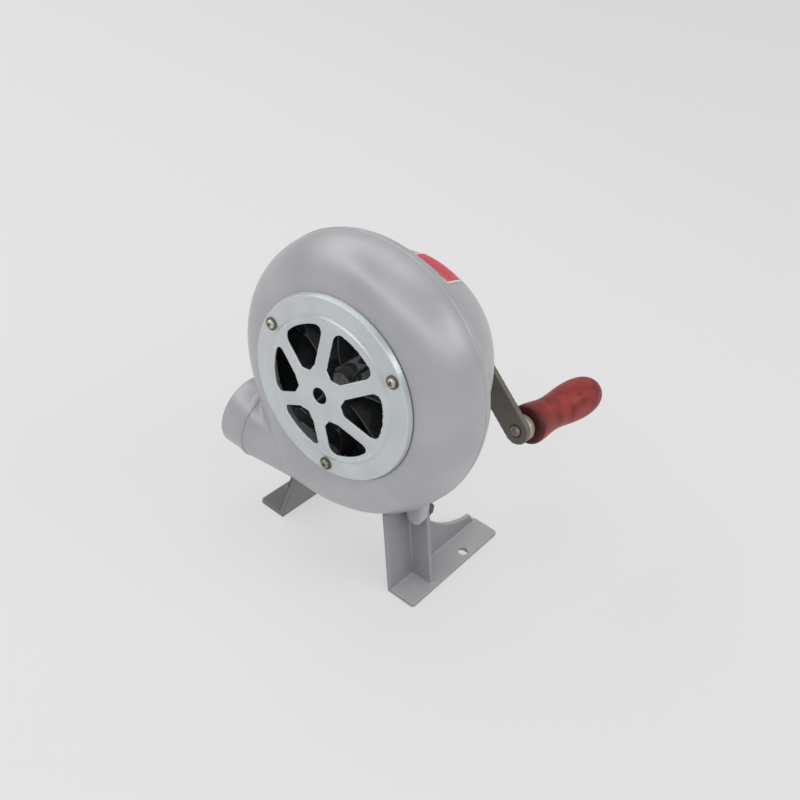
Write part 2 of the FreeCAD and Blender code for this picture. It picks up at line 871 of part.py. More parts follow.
def make_crank_arm():
    """A flat bar, bent a little ahead of the hub, with round ends."""
    lean = math.radians(arm_lean)
    half = arm_width / 2
    t = arm_thickness
    far = crank_radius + arm_width
    fall = (far - arm_bend_reach) * math.tan(lean)
    side = [at(-half, arm_face, -half), at(arm_bend_reach, arm_face, -half), at(far, arm_face - fall, -half),
            at(far, arm_face - fall + t / math.cos(lean), -half),
            at(arm_bend_reach + t * math.tan(lean / 2), arm_face + t, -half), at(-half, arm_face + t, -half)]
    strip = Part.Face(Part.Wire(polygon_edges(side))).extrude(V(0, 0, arm_width))
    low = arm_face - fall - overcut
    deep = fall + t + 2 * overcut
    plan = Part.Wire([
        line(at(0, low, -half), at(crank_radius, low, -half)),
        arc(at(crank_radius, low, -half), at(crank_radius + half, low, 0), at(crank_radius, low, half)),
        line(at(crank_radius, low, half), at(0, low, half)),
        arc(at(0, low, half), at(-half, low, 0), at(0, low, -half)),
    ])
    arm = strip.common(Part.Face(plan).extrude(V(0, deep, 0)))
    gap = crank_square + 2 * seat_clearance
    arm = arm.cut(Part.makeBox(gap, deep, gap, at(-gap / 2, low, -gap / 2)))
    return turned(arm.cut(along_handle(spindle_radius, -t, 2 * t)))


def make_crank_washer():
    start = arm_face + arm_thickness
    return turned(tube(crank_washer_radius, crank_thread_radius + screw_clearance, start,
                       start + crank_washer_thickness))


def make_crank_nut():
    start = arm_face + arm_thickness + crank_washer_thickness
    nut = hexagon(crank_nut_flats, start, start + crank_nut_height)
    return turned(nut.cut(cylinder(crank_thread_radius, start - overcut, start + reach_past)))


def along_handle(radius, start, end):
    front, direction = arm_tip()
    return Part.makeCylinder(radius, end - start, front + direction * start, direction)


def make_spindle():
    """The pin that the grip turns on, riveted into the arm with a domed head."""
    shaft = along_handle(spindle_radius, 0, arm_thickness + spindle_length)
    front, direction = arm_tip()
    head = Part.makeCone(rivet_head_radius, rivet_face_radius, rivet_head_height, front, direction * -1)
    return turned(shaft.fuse(head).removeSplitter())


def make_handle_collar():
    start = arm_thickness
    collar = along_handle(handle_collar_radius, start, start + handle_collar_length)
    return turned(collar.cut(along_handle(spindle_radius, 0, spindle_length)))


def make_handle_washer():
    start = arm_thickness + handle_collar_length
    washer = along_handle(handle_washer_radius, start, start + handle_washer_thickness)
    return turned(washer.cut(along_handle(spindle_radius, 0, spindle_length)))


def make_grip():
    """A turned wooden grip: a flared base, a waist, a swell and a round tip, with a blind bore."""
    front, direction = arm_tip()
    base = arm_thickness + handle_collar_length + handle_washer_thickness + grip_end_play
    side = V(direction.y, -direction.x, 0)

    def p(reach, radius):
        return front + direction * (base + reach) + side * radius

    rounding = grip_base_rounding
    tucked = rounding * (1 - math.sqrt(0.5))
    curve = Part.BSplineCurve()
    curve.interpolate(Points=[
        p(rounding, grip_base_radius),
        p(grip_waist_reach, grip_waist_radius),
        p(grip_swell_reach, grip_swell_radius),
        p(grip_length, 0),
    ], InitialTangent=direction * grip_base_pull, FinalTangent=side * -grip_tip_pull)
    face = Part.Face(Part.Wire([
        arc(p(0, grip_base_radius - rounding), p(tucked, grip_base_radius - tucked), p(rounding, grip_base_radius)),
        curve.toShape(),
        line(p(grip_length, 0), p(0, 0)),
        line(p(0, 0), p(0, grip_base_radius - rounding)),
    ]))
    body = face.revolve(front, direction, 360)
    bore_end = arm_thickness + spindle_length + grip_end_play
    return turned(body.cut(along_handle(spindle_radius + running_clearance, base - overcut, bore_end)))


# Feet: an angle section that leans in under the casing, on a flat base plate
def foot_outer():
    return lug_spread() + foot_overhang


def slanted(near, far, depth, height, thickness):
    """A slab between two distances from the middle at the floor, leaning in as it rises."""
    floor = -axis_height
    rise = foot_lean * height
    return prism([at(near, depth, floor), at(far, depth, floor), at(far - rise, depth, floor + height),
                  at(near - rise, depth, floor + height)], thickness)


def web_outline(web_height):
    """The fore-and-aft web seen from the side: full height in front, then a hollow curve down to its tail."""
    floor = -axis_height
    back = casing_depth + web_thickness
    tail = foot_front + web_tail_reach
    return Part.Wire([
        line(at(0, foot_front, floor), at(0, foot_front, floor + web_height)),
        line(at(0, foot_front, floor + web_height), at(0, back, floor + web_height)),
        arc(at(0, back, floor + web_height), at(0, foot_front + web_middle_reach, floor + web_middle_height),
            at(0, tail, floor + web_tail_height)),
        line(at(0, tail, floor + web_tail_height), at(0, tail + web_tail_run, floor)),
        line(at(0, tail + web_tail_run, floor), at(0, foot_front, floor)),
    ])


def mirrored(shape):
    return shape.mirror(V(0, 0, 0), V(1, 0, 0))


def make_foot(side, web_height):
    inner = foot_outer() - foot_width
    plate = Part.makeBox(foot_width, foot_length, foot_thickness, at(inner, foot_front, -axis_height))
    corners = [e for e in plate.Edges if e.BoundBox.ZLength > foot_thickness / 2]
    plate = plate.makeFillet(foot_corner, corners)
    web = Part.Face(web_outline(web_height)).extrude(V(2 * foot_outer(), 0, 0))
    web = web.common(slanted(inner, inner + web_thickness, 0, axis_height - rear_opening_radius, 2 * foot_length))
    cross_web = slanted(inner, inner + cross_web_width, casing_depth, axis_height - rear_opening_radius, web_thickness)
    rim = Part.Face(scroll_outline(rear_edge_inset() - seat_gap, casing_depth - overcut))
    rim = rim.extrude(V(0, web_thickness + 2 * overcut, 0))
    duct = duct_cone(-duct_clearance)
    if side < 0:
        cross_web = cross_web.cut([mirrored(rim), mirrored(duct)])
    else:
        cross_web = cross_web.cut(rim)
    foot = plate.fuse([web, cross_web])
    foot = foot.cut(cylinder(foot_screw_radius + screw_clearance, 0, case_back, lug_spread(), -lug_drop))
    bolt = V(foot_outer() - bolt_hole_inset, 0, -overcut)
    foot = foot.cut(Part.makeCylinder(bolt_hole_radius, foot_thickness + 2 * overcut, bolt)).removeSplitter()
    return mirrored(foot) if side < 0 else foot


def make_foot_screws():
    seat = casing_depth + web_thickness + foot_washer_thickness
    screws = []
    for side in (-1, 1):
        x = side * lug_spread()
        shank = cylinder(foot_screw_radius, casing_depth - foot_screw_depth, seat, x, -lug_drop)
        head = hexagon(foot_screw_flats, seat, seat + foot_screw_head, x, -lug_drop)
        screws.append(shank.fuse(head).removeSplitter())
    return Part.makeCompound(screws)


def make_foot_washers():
    start = casing_depth + web_thickness
    return Part.makeCompound([tube(foot_washer_radius, foot_screw_radius + screw_clearance, start,
                                   start + foot_washer_thickness, side * lug_spread(), -lug_drop)
                              for side in (-1, 1)])


parts = {
    "scroll_casing": make_scroll_casing,
    "inlet_cover": make_inlet_cover,
    "inlet_cover_screws": make_cover_screws,
    "inlet_cover_washers": make_cover_washers,
    "back_plate": make_back_plate,
    "back_plate_screws": make_back_plate_screws,
    "gear_case": make_gear_case,
    "gear_case_screws": make_case_screws,
    "label_plate": make_label,
    "fan_bush": make_fan_bush,
    "fan_shaft": make_fan_shaft,
    "fan_pinion": make_fan_pinion,
    "fan_nut": make_fan_nut,
    "fan_thrust_washer": make_fan_thrust_washer,
    "impeller_hub": make_impeller_hub,
    "impeller_disc": make_impeller_disc,
    "impeller_blades": make_blades,
    "idler_axle": make_idler_axle,
    "idler_gear": make_idler_gear,
    "idler_pinion": make_idler_pinion,
    "crank_bush": make_crank_bush,
    "crank_shaft": make_crank_shaft,
    "crank_gear": make_crank_gear,
    "crank_spacer": make_crank_spacer,
    "crank_arm": make_crank_arm,
    "crank_washer": make_crank_washer,
    "crank_nut": make_crank_nut,
    "handle_spindle": make_spindle,
    "handle_collar": make_handle_collar,
    "handle_washer": make_handle_washer,
    "handle_grip": make_grip,
    "left_foot": lambda: make_foot(-1, left_web_height),
    "right_foot": lambda: make_foot(1, right_web_height),
    "foot_screws": make_foot_screws,
    "foot_washers": make_foot_washers,
}

os.makedirs("parts", exist_ok=True)
for name, make in parts.items():
    shape = make()
    if not shape.isValid():
        print(name, "is not valid")
    print(name, len(shape.Solids), round(shape.Volume), [round(v, 1) for v in (
        shape.BoundBox.XMin, shape.BoundBox.XMax, shape.BoundBox.YMin, shape.BoundBox.YMax,
        shape.BoundBox.ZMin, shape.BoundBox.ZMax)])
    shape.exportStep("parts/" + name + ".step")
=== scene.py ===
import json
import math

import bmesh
import bpy
from mathutils import Matrix, Vector
from mathutils.bvhtree import BVHTree


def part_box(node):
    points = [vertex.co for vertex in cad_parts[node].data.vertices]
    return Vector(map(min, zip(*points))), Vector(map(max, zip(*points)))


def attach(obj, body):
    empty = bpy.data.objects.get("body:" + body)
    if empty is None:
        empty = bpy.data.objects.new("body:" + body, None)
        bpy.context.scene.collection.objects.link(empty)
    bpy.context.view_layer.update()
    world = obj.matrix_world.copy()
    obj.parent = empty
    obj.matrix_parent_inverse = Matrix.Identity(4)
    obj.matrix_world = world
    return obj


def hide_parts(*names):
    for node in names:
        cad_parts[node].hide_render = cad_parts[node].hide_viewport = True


# A hand crank fan: a cast scroll casing on two feet, a windowed inlet cover in front, a bell-shaped
# gear case behind it, and a bent crank arm with a turned wooden grip. Metres, +Z up, inlet towards -Y.
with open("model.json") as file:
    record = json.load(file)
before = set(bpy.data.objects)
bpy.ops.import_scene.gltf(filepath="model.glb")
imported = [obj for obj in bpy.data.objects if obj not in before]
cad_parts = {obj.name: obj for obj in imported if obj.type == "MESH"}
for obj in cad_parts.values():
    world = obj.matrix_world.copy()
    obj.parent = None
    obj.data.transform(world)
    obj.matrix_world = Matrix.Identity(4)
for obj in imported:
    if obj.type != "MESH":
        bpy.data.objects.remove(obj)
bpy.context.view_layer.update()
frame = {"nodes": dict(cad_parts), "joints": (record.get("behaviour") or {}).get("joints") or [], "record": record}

# Scroll casing
# The real piece is a thin iron casting, its edges softened by the sand and the paint, with a duct that
# runs into a turned outlet stub. Grey enamel outside; inside, behind the impeller, near-black painted shade.

mm = 0.001
joints = {joint["name"]: joint for joint in frame["joints"]}
fan_axis = Vector(joints["fan_spin"]["pos_m"])
inlet_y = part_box("inlet_cover")[1].y
cover_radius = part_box("inlet_cover")[1].x


def linear(code):
    """An sRGB hex colour as linear red, green and blue, with alpha."""
    values = [int(code[i:i + 2], 16) / 255 for i in (1, 3, 5)]
    return [v / 12.92 if v <= 0.04045 else ((v + 0.055) / 1.055) ** 2.4 for v in values] + [1.0]


def add(tree, kind, inputs=None, out=0, **settings):
    """Add a node with its settings, give or link its inputs, and return one of its outputs."""
    node = tree.nodes.new(kind)
    for name, value in settings.items():
        setattr(node, name, value)
    for key, value in (inputs or {}).items():
        if isinstance(value, bpy.types.NodeSocket):
            tree.links.new(value, node.inputs[key])
        elif isinstance(value, str):
            node.inputs[key].default_value = linear(value)
        else:
            node.inputs[key].default_value = value
    return node.outputs[out] if len(node.outputs) else node


def new_material(name, **constants):
    """A material with its shader joined to the output, its constants set on the shader's own sockets."""
    material = bpy.data.materials.new(name)
    material.use_nodes = True
    tree = material.node_tree
    tree.nodes.clear()
    shader = add(tree, "ShaderNodeBsdfPrincipled").node
    for key, value in constants.items():
        shader.inputs[key.replace("_", " ")].default_value = value
    add(tree, "ShaderNodeOutputMaterial", {"Surface": shader.outputs[0]})
    return material, tree, shader, add(tree, "ShaderNodeTexCoord", out="Object")


def give(tree, shader, **values):
    """Link values to the shader's sockets."""
    for key, value in values.items():
        tree.links.new(value, shader.inputs[key.replace("_", " ")])


def painted_iron(name, light, dark, worn, wear, soil_and_shade, dust, wave, grit):
    """Satin machinery enamel on cast iron: a soft sheen over slow waves, a fine sandy skin, rubbed edges,
    grime with painted shade in the corners, paler tops that are partly dust and partly painted light, and
    a painted shadow line round the inlet cover. Waves are 30 mm apart and the sand is drawn 1.1 mm coarse.
    The paint's flakes reflect more than clear enamel, hence its IOR. Wear, soil with shade, and dust with
    top light are shares, wave and grit heights."""
    material, tree, shader, place = new_material(name, Metallic=0.0, IOR=1.75)
    cloud = add(tree, "ShaderNodeTexNoise", {"Vector": place, "Scale": 1 / (38 * mm), "Detail": 2.0})
    share = add(tree, "ShaderNodeMapRange", {0: cloud, 1: 0.36, 2: 0.66, 3: 0.0, 4: 1.0})
    colour = add(tree, "ShaderNodeMix", {0: share, 6: dark, 7: light}, out=2, data_type="RGBA")
    sand = add(tree, "ShaderNodeTexNoise", {"Vector": place, "Scale": 1 / (1.1 * mm), "Detail": 2.0})
    speck = add(tree, "ShaderNodeMapRange", {0: sand, 1: 0.66, 2: 0.74, 3: 0.0, 4: 0.30})
    colour = add(tree, "ShaderNodeMix", {0: speck, 6: colour, 7: dark}, out=2, data_type="RGBA")
    edge = add(tree, "ShaderNodeNewGeometry", out="Pointiness")
    blotch = add(tree, "ShaderNodeTexNoise", {"Vector": place, "Scale": 1 / (5 * mm), "Detail": 4.0})
    ridge = add(tree, "ShaderNodeMapRange", {0: edge, 1: 0.53, 2: 0.60, 3: 0.0, 4: 1.0})
    patch = add(tree, "ShaderNodeMapRange", {0: blotch, 1: 0.42, 2: 0.62, 3: 0.2 * wear, 4: wear})
    rubbed = add(tree, "ShaderNodeMath", {0: ridge, 1: patch}, operation="MULTIPLY")
    colour = add(tree, "ShaderNodeMix", {0: rubbed, 6: colour, 7: worn}, out=2, data_type="RGBA")
    # Grime and painted shade: concave corners and grooves are darkened towards a dark grey
    grime_and_shade = add(tree, "ShaderNodeMapRange", {0: edge, 1: 0.38, 2: 0.48, 3: soil_and_shade, 4: 0.0})
    colour = add(tree, "ShaderNodeMix", {0: grime_and_shade, 6: colour, 7: "#48494C"}, out=2, data_type="RGBA")

    # What faces up is painted paler: partly dust, partly painted light from above
    facing = add(tree, "ShaderNodeNewGeometry", out="Normal")
    facing = add(tree, "ShaderNodeSeparateXYZ", {0: facing}, out="Z")
    facing = add(tree, "ShaderNodeMapRange", {0: facing, 1: 0.6, 2: 0.95, 3: 0.0, 4: dust})
    colour = add(tree, "ShaderNodeMix", {0: facing, 6: colour, 7: worn}, out=2, data_type="RGBA")

    # A painted shadow line darkens the thin gap round the inlet cover, most of it on the side away from the outlet
    aside = add(tree, "ShaderNodeVectorMath", {0: place, 1: fan_axis}, operation="SUBTRACT")
    across = add(tree, "ShaderNodeVectorMath", {0: aside, 1: (1, 0, 1)}, operation="MULTIPLY")
    across = add(tree, "ShaderNodeVectorMath", {0: across}, out="Value", operation="LENGTH")
    gap_shadow_ring = add(tree, "ShaderNodeMapRange", {0: across, 1: cover_radius + 0.3 * mm,
                                            2: cover_radius + 0.8 * mm, 3: 1.0, 4: 0.0})
    at = add(tree, "ShaderNodeSeparateXYZ", {0: place}).node.outputs
    ahead = add(tree, "ShaderNodeMapRange", {0: at["Y"], 1: inlet_y + 0.5 * mm, 2: inlet_y + 1.5 * mm,
                                             3: 0.75, 4: 0.0})
    side = add(tree, "ShaderNodeMapRange", {0: at["X"], 1: 5 * mm, 2: 40 * mm, 3: 0.1, 4: 1.0})
    gap = add(tree, "ShaderNodeMath", {0: gap_shadow_ring, 1: ahead}, operation="MULTIPLY")
    gap = add(tree, "ShaderNodeMath", {0: gap, 1: side}, operation="MULTIPLY")
    colour = add(tree, "ShaderNodeMix", {0: gap, 6: colour, 7: "#303134"}, out=2, data_type="RGBA")
    gloss = add(tree, "ShaderNodeMapRange", {0: cloud, 1: 0.3, 2: 0.7, 3: 0.29, 4: 0.37})
    slow = add(tree, "ShaderNodeTexNoise", {"Vector": place, "Scale": 1 / (30 * mm), "Detail": 1.0})
    normal = add(tree, "ShaderNodeBump", {"Height": slow, "Distance": wave})
    peel = add(tree, "ShaderNodeTexNoise", {"Vector": place, "Scale": 1 / (3.5 * mm), "Detail": 2.0})
    normal = add(tree, "ShaderNodeBump", {"Height": peel, "Distance": 2 * grit, "Normal": normal})
    normal = add(tree, "ShaderNodeBump", {"Height": sand, "Distance": grit, "Normal": normal})
    give(tree, shader, Base_Color=colour, Roughness=gloss, Normal=normal)
    return material


def painted_shade_black():
    """Near-black painted shade for the dark inside of the casing: no shine, with faint brown dust blotches."""
    material, tree, shader, place = new_material("casing inside, black painted shade", Metallic=0.0)
    dust = add(tree, "ShaderNodeTexNoise", {"Vector": place, "Scale": 1 / (9 * mm), "Detail": 4.0})
    share = add(tree, "ShaderNodeMapRange", {0: dust, 1: 0.4, 2: 0.75, 3: 0.0, 4: 1.0})
    # The near-black colours are painted shade: the inside of the casing lies dark
    colour = add(tree, "ShaderNodeMix", {0: share, 6: "#232427", 7: "#302E29"}, out=2, data_type="RGBA")
    rough = add(tree, "ShaderNodeMapRange", {0: dust, 1: 0.3, 2: 0.7, 3: 0.55, 4: 0.8})
    drips = add(tree, "ShaderNodeTexNoise", {"Vector": place, "Scale": 1 / (2.4 * mm), "Detail": 3.0})
    normal = add(tree, "ShaderNodeBump", {"Height": drips, "Distance": 0.06 * mm})
    give(tree, shader, Base_Color=colour, Roughness=rough, Normal=normal)
    return material


casing_paint = painted_iron("casing, satin grey enamel on cast iron", "#A8A8AC", "#9E9EA3", "#BFC0C2",
                            wear=0.4, soil_and_shade=0.2, dust=0.0, wave=0.5 * mm, grit=0.008 * mm)
# The inside faces get near-black painted shade
inside_painted_shade = painted_shade_black()
nodes = frame["nodes"]


def link(name, mesh, *materials):
    """A new object at the origin, with a mesh and its materials."""
    mesh.name = name
    piece = bpy.data.objects.new(name, mesh)
    bpy.context.scene.collection.objects.link(piece)
    mesh.materials.clear()
    for material in materials:
        mesh.materials.append(material)
    return piece


def bake(piece):
    """Turn a piece's modifiers into its plain mesh, shaded smooth."""
    graph = bpy.context.evaluated_depsgraph_get()
    mesh = bpy.data.meshes.new_from_object(piece.evaluated_get(graph))
    piece.modifiers.clear()
    piece.data = mesh
    mesh.shade_smooth()
    return piece


def merged_copy(node):
    """A copy of a node's mesh with its loose triangles joined."""
    work = bmesh.new()
    work.from_mesh(nodes[node].data)
    bmesh.ops.remove_doubles(work, verts=work.verts, dist=1e-6)
    mesh = bpy.data.meshes.new(node)
    work.to_mesh(mesh)
    work.free()
    return mesh


def cast(name, node, *materials, skin, softening):
    """A node's shape as a casting: an even skin of small faces, smoothed so that its edges are round."""
    piece = link(name, merged_copy(node), *materials)
    remesh = piece.modifiers.new("skin", "REMESH")
    remesh.mode = "VOXEL"
    remesh.voxel_size = skin
    smooth = piece.modifiers.new("soften", "LAPLACIANSMOOTH")
    smooth.iterations = softening
    smooth.lambda_factor = 0.6
    smooth.use_volume_preserve = True
    bake(piece)
    piece.data.materials.clear()
    for material in materials:
        piece.data.materials.append(material)
    return piece


def clamped(value):
    """A value held between 0 and 1."""
    return min(max(value, 0), 1)


casing = cast("casing", "scroll_casing", casing_paint, inside_painted_shade, skin=1.4 * mm, softening=7)

# The end of the duct is drawn in a little, under the skin of the turned stub, and less near the body
casing_low, casing_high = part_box("scroll_casing")
body_radius = casing_high.z - fan_axis.z
outlet = next(mount for mount in frame["record"]["mounts"] if mount["name"] == "outlet")
outlet_middle = Vector(outlet["pos_m"])
stub_radius = outlet["dims"]["r_mm"] * mm
stub_length = 20.4 * mm
stub_bore = 22.7 * mm
tuck = 0.3 * mm
body_gap = 1 * mm
fade_out, fade_along = 4 * mm, 2 * mm
duct_skin = 3 * mm
for vert in casing.data.vertices:
    spoke = Vector((0, vert.co.y - outlet_middle.y, vert.co.z - outlet_middle.z))
    clear = math.hypot(vert.co.x, vert.co.z - fan_axis.z) - body_radius - body_gap
    along = casing_low.x + stub_length - vert.co.x
    held = clamped(clear / fade_out) * clamped(along / fade_along)
    if held and spoke.length < stub_radius + duct_skin:
        reach = min(max(spoke.length, stub_bore + tuck), stub_radius - tuck)
        vert.co.yz = (vert.co + spoke.normalized() * (reach - spoke.length) * held).yz
        vert.co.x = max(vert.co.x, casing_low.x + tuck)

# A face is inside if it looks towards the middle of the casing's rounded wall, or down the duct
wall_round = 28 * mm
wall_core = body_radius - wall_round
core_y = inlet_y + wall_round
duct_end, duct_reach, duct_fillet = -14 * mm, 29 * mm, 5 * mm
mouth_end, mouth_wall, mouth_reach = casing_low.x + 26 * mm, 24.2 * mm, 32 * mm
lug_top = casing_low.z + 22 * mm
for face in casing.data.polygons:
    spoke = Vector((face.center.x, 0, face.center.z - fan_axis.z))
    out = spoke.normalized() * wall_core
    core = Vector((out.x, core_y, out.z + fan_axis.z))
    inward = face.normal.dot(face.center - core) < 0
    off_duct = face.center - Vector((face.center.x, outlet_middle.y, outlet_middle.z))
    if face.center.x < duct_end and spoke.length > body_radius and off_duct.length < duct_reach:
        beside = spoke.length < body_radius + duct_fillet
        inward = (inward or not beside) and face.normal.dot(off_duct) < 0
    at_mouth = face.center.x < mouth_end and spoke.length > body_radius - body_gap
    if at_mouth and mouth_wall < off_duct.length < mouth_reach:
        inward = False
    face.material_index = int(inward and face.center.z > lug_top)
    face.use_smooth = True

# Stray faces outside, beside the duct, pass that test too, so only the large patches stay black
work = bmesh.new()
work.from_mesh(casing.data)
small_patch = 1500
sorted_out = set()
for face in work.faces:
    patch, rim = [], [face]
    while rim:
        face = rim.pop()
        if face.material_index and face not in sorted_out:
            sorted_out.add(face)
            patch.append(face)
            rim += [other for edge in face.edges for other in edge.link_faces]
    if len(patch) < small_patch:
        for face in patch:
            face.material_index = 0
work.to_mesh(casing.data)
work.free()
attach(casing, "housing")
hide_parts("scroll_casing")

# Outlet stub
# The end of the casting's duct, turned on a lathe to take a 2 inch pipe: a low bead where the turning
# ends, a plain seat, and a small chamfer inside and outside its mouth. It is painted with the casing.


def turned(name, profile, foot, axis, *materials, closed, steps):
    """A turned piece: its profile is points along an axis and their radii, and may close on itself."""
    axis = Vector(axis).normalized()
    side = axis.orthogonal().normalized()
    other = axis.cross(side)
    work = bmesh.new()
    rings = []
    for along, radius in profile:
        centre = Vector(foot) + axis * along
        count = steps if radius else 1
        spokes = [side * math.cos(math.tau * i / steps) + other * math.sin(math.tau * i / steps)
                  for i in range(count)]
        rings.append([work.verts.new(centre + spoke * radius) for spoke in spokes])
    pairs = list(zip(rings, rings[1:])) + ([(rings[-1], rings[0])] if closed else [])
    for near, far in pairs:
        for i in range(steps):
            j = i + 1
            corners = (near[i % len(near)], near[j % len(near)], far[j % len(far)], far[i % len(far)])
            work.faces.new(list(dict.fromkeys(corners)))
    bmesh.ops.recalc_face_normals(work, faces=work.faces)
    mesh = bpy.data.meshes.new(name)
    work.to_mesh(mesh)
    work.free()
    return link(name, mesh, *materials)


def round_edges(piece, width):
    """Round a piece's sharp edges, and keep its flat and round faces true."""
    bevel = piece.modifiers.new("rounding", "BEVEL")
    bevel.width = width
    bevel.segments = 3
    bevel.limit_method = "ANGLE"
    bevel.angle_limit = math.radians(25)
    bevel.harden_normals = True
    return bake(piece)


bead_start, seat_start, chamfer_start = 0.2 * mm, 2.2 * mm, 19.9 * mm
stub_profile = [(bead_start, 25.2 * mm), (bead_start, 26.3 * mm), (1.9 * mm, 26.6 * mm),
                (seat_start, stub_radius), (chamfer_start, stub_radius), (stub_length, 25.0 * mm),
                (stub_length, 23.3 * mm), (chamfer_start, stub_bore - tuck), (bead_start, stub_bore - tuck)]
stub_foot = (casing_low.x + stub_length, outlet_middle.y, outlet_middle.z)
stub = turned("outlet_stub", stub_profile, stub_foot, (-1, 0, 0), casing_paint, closed=True, steps=128)
round_edges(stub, 0.25 * mm)
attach(stub, "housing")

# Flange band
# The casting's rear edge is thickened to a band 8 mm wide, where the halves of its mould met. It stands
# 0.6 mm proud, and its two edges show as fine light and dark lines. It fades out at the duct and a lug.


def skin_of(piece):
    """A piece's faces, ready for rays."""
    mesh = piece.data
    return BVHTree.FromPolygons([v.co for v in mesh.vertices], [p.vertices for p in mesh.polygons])


def on_skin(skin, angle, y):
    """Where a ray from well outside towards the fan axis meets a piece, and which way is out. The angle
    is counted from +X towards +Z."""
    out = Vector((math.cos(angle), 0, math.sin(angle)))
    return skin.ray_cast(Vector((0, y, fan_axis.z)) + out * 200 * mm, -out)[0], out


# The section's points are depths behind the inlet face and rises over the casing, in millimetres
casing_faces = skin_of(casing)
band_section = [(30.2, -0.9), (30.5, 0.30), (31.2, 0.62), (34.4, 0.66), (37.6, 0.62), (38.3, 0.30),
                (38.6, -0.9)]
band_start, band_end, band_steps = -50, 200, 500
evened, band_fade, band_sunk = 6, 12, 0.3
angles = [math.radians(band_start + (band_end - band_start) * step / band_steps)
          for step in range(band_steps + 1)]
radii = []
for angle in angles:
    hits = [on_skin(casing_faces, angle, inlet_y + depth * mm)[0] for depth, rise in band_section]
    radii.append([math.hypot(*(hit - fan_axis).xz) for hit in hits])
work = bmesh.new()
loops = []
for step, angle in enumerate(angles):
    near = radii[max(step - evened, 0):step + evened + 1]
    held = clamped(min(step, band_steps - step) / band_fade)
    loop = []
    for row, (depth, rise) in enumerate(band_section):
        lift = rise if rise < 0 else rise * held - (1 - held) * band_sunk
        radius = sum(values[row] for values in near) / len(near) + lift * mm
        loop.append(work.verts.new((math.cos(angle) * radius, inlet_y + depth * mm,
                                    fan_axis.z + math.sin(angle) * radius)))
    loops.append(loop)
for near, far in zip(loops, loops[1:]):
    for i in range(len(near)):
        j = (i + 1) % len(near)
        work.faces.new((near[i], near[j], far[j], far[i]))
work.faces.new(loops[0])
work.faces.new(loops[-1])
bmesh.ops.recalc_face_normals(work, faces=work.faces)
band_mesh = bpy.data.meshes.new("flange_band")
work.to_mesh(band_mesh)
work.free()
band = link("flange_band", band_mesh, casing_paint)
band_mesh.shade_smooth()
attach(band, "housing")

# Back plate and gear case
# A flat iron plate closes the casing, and a bell-shaped casting over the gears stands on it. Both have
# the casing's grey enamel, brushed over the joints, so that only thin lines show where they meet.

rear_plate = cast("rear_plate", "back_plate", casing_paint, skin=1.1 * mm, softening=3)
bell = cast("bell", "gear_case", casing_paint, skin=1.1 * mm, softening=4)

# The bell's shoulder is a little flat at the top, where the label goes
flat_top, flat_spread, flat_depth = math.radians(95), math.radians(50), 5.0 * mm
flat_rear, flat_fade = -8 * mm, 14 * mm
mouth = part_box("gear_case")[1].x
for vert in bell.data.vertices:
    spoke = Vector((vert.co.x, 0, vert.co.z - fan_axis.z))
    turn = (math.atan2(spoke.z, spoke.x) - flat_top) / flat_spread
    ahead = clamped((flat_rear - vert.co.y) / flat_fade)
    outer = clamped((spoke.length / mouth) ** 2)
    if abs(turn) < 1:
        sink = flat_depth * ahead * outer * (1 + math.cos(math.pi * turn)) / 2
        vert.co -= spoke.normalized() * sink
for piece, node in ((rear_plate, "back_plate"), (bell, "gear_case")):
    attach(piece, "housing")
    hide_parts(node)

# Screws of the inlet cover, the back plate and the gear case
# Pan head machine screws with a cross recess, pressed and rolled from wire. Those of the cover are yellow
# zinc plated, and the rear ones are plain zinc plated. Each is screwed into a tapped hole.


def plated_steel(name, light, dull, low, high, metallic=0.85):
    """Plated or bare worked steel: a soft metal shine that goes dull in blotches, with fine tool marks
    about 0.7 mm apart."""
    material, tree, shader, place = new_material(name, Metallic=metallic)
    cloud = add(tree, "ShaderNodeTexNoise", {"Vector": place, "Scale": 1 / (6 * mm), "Detail": 4.0})
    share = add(tree, "ShaderNodeMapRange", {0: cloud, 1: 0.38, 2: 0.68, 3: 0.0, 4: 1.0})
    colour = add(tree, "ShaderNodeMix", {0: share, 6: light, 7: dull}, out=2, data_type="RGBA")
    edge = add(tree, "ShaderNodeNewGeometry", out="Pointiness")
    # Dirt and painted shade: recesses and corners, such as the screws' cross recesses, are darkened
    soil_and_shade = add(tree, "ShaderNodeMapRange", {0: edge, 1: 0.38, 2: 0.49, 3: 0.6, 4: 0.0})
    colour = add(tree, "ShaderNodeMix", {0: soil_and_shade, 6: colour, 7: "#2E2C28"}, out=2, data_type="RGBA")
    rough = add(tree, "ShaderNodeMapRange", {0: cloud, 1: 0.3, 2: 0.7, 3: low, 4: high})
    marks = add(tree, "ShaderNodeTexNoise", {"Vector": place, "Scale": 1 / (0.7 * mm), "Detail": 3.0})
    normal = add(tree, "ShaderNodeBump", {"Height": marks, "Distance": 0.012 * mm})
    give(tree, shader, Base_Color=colour, Roughness=rough, Normal=normal)
    return material


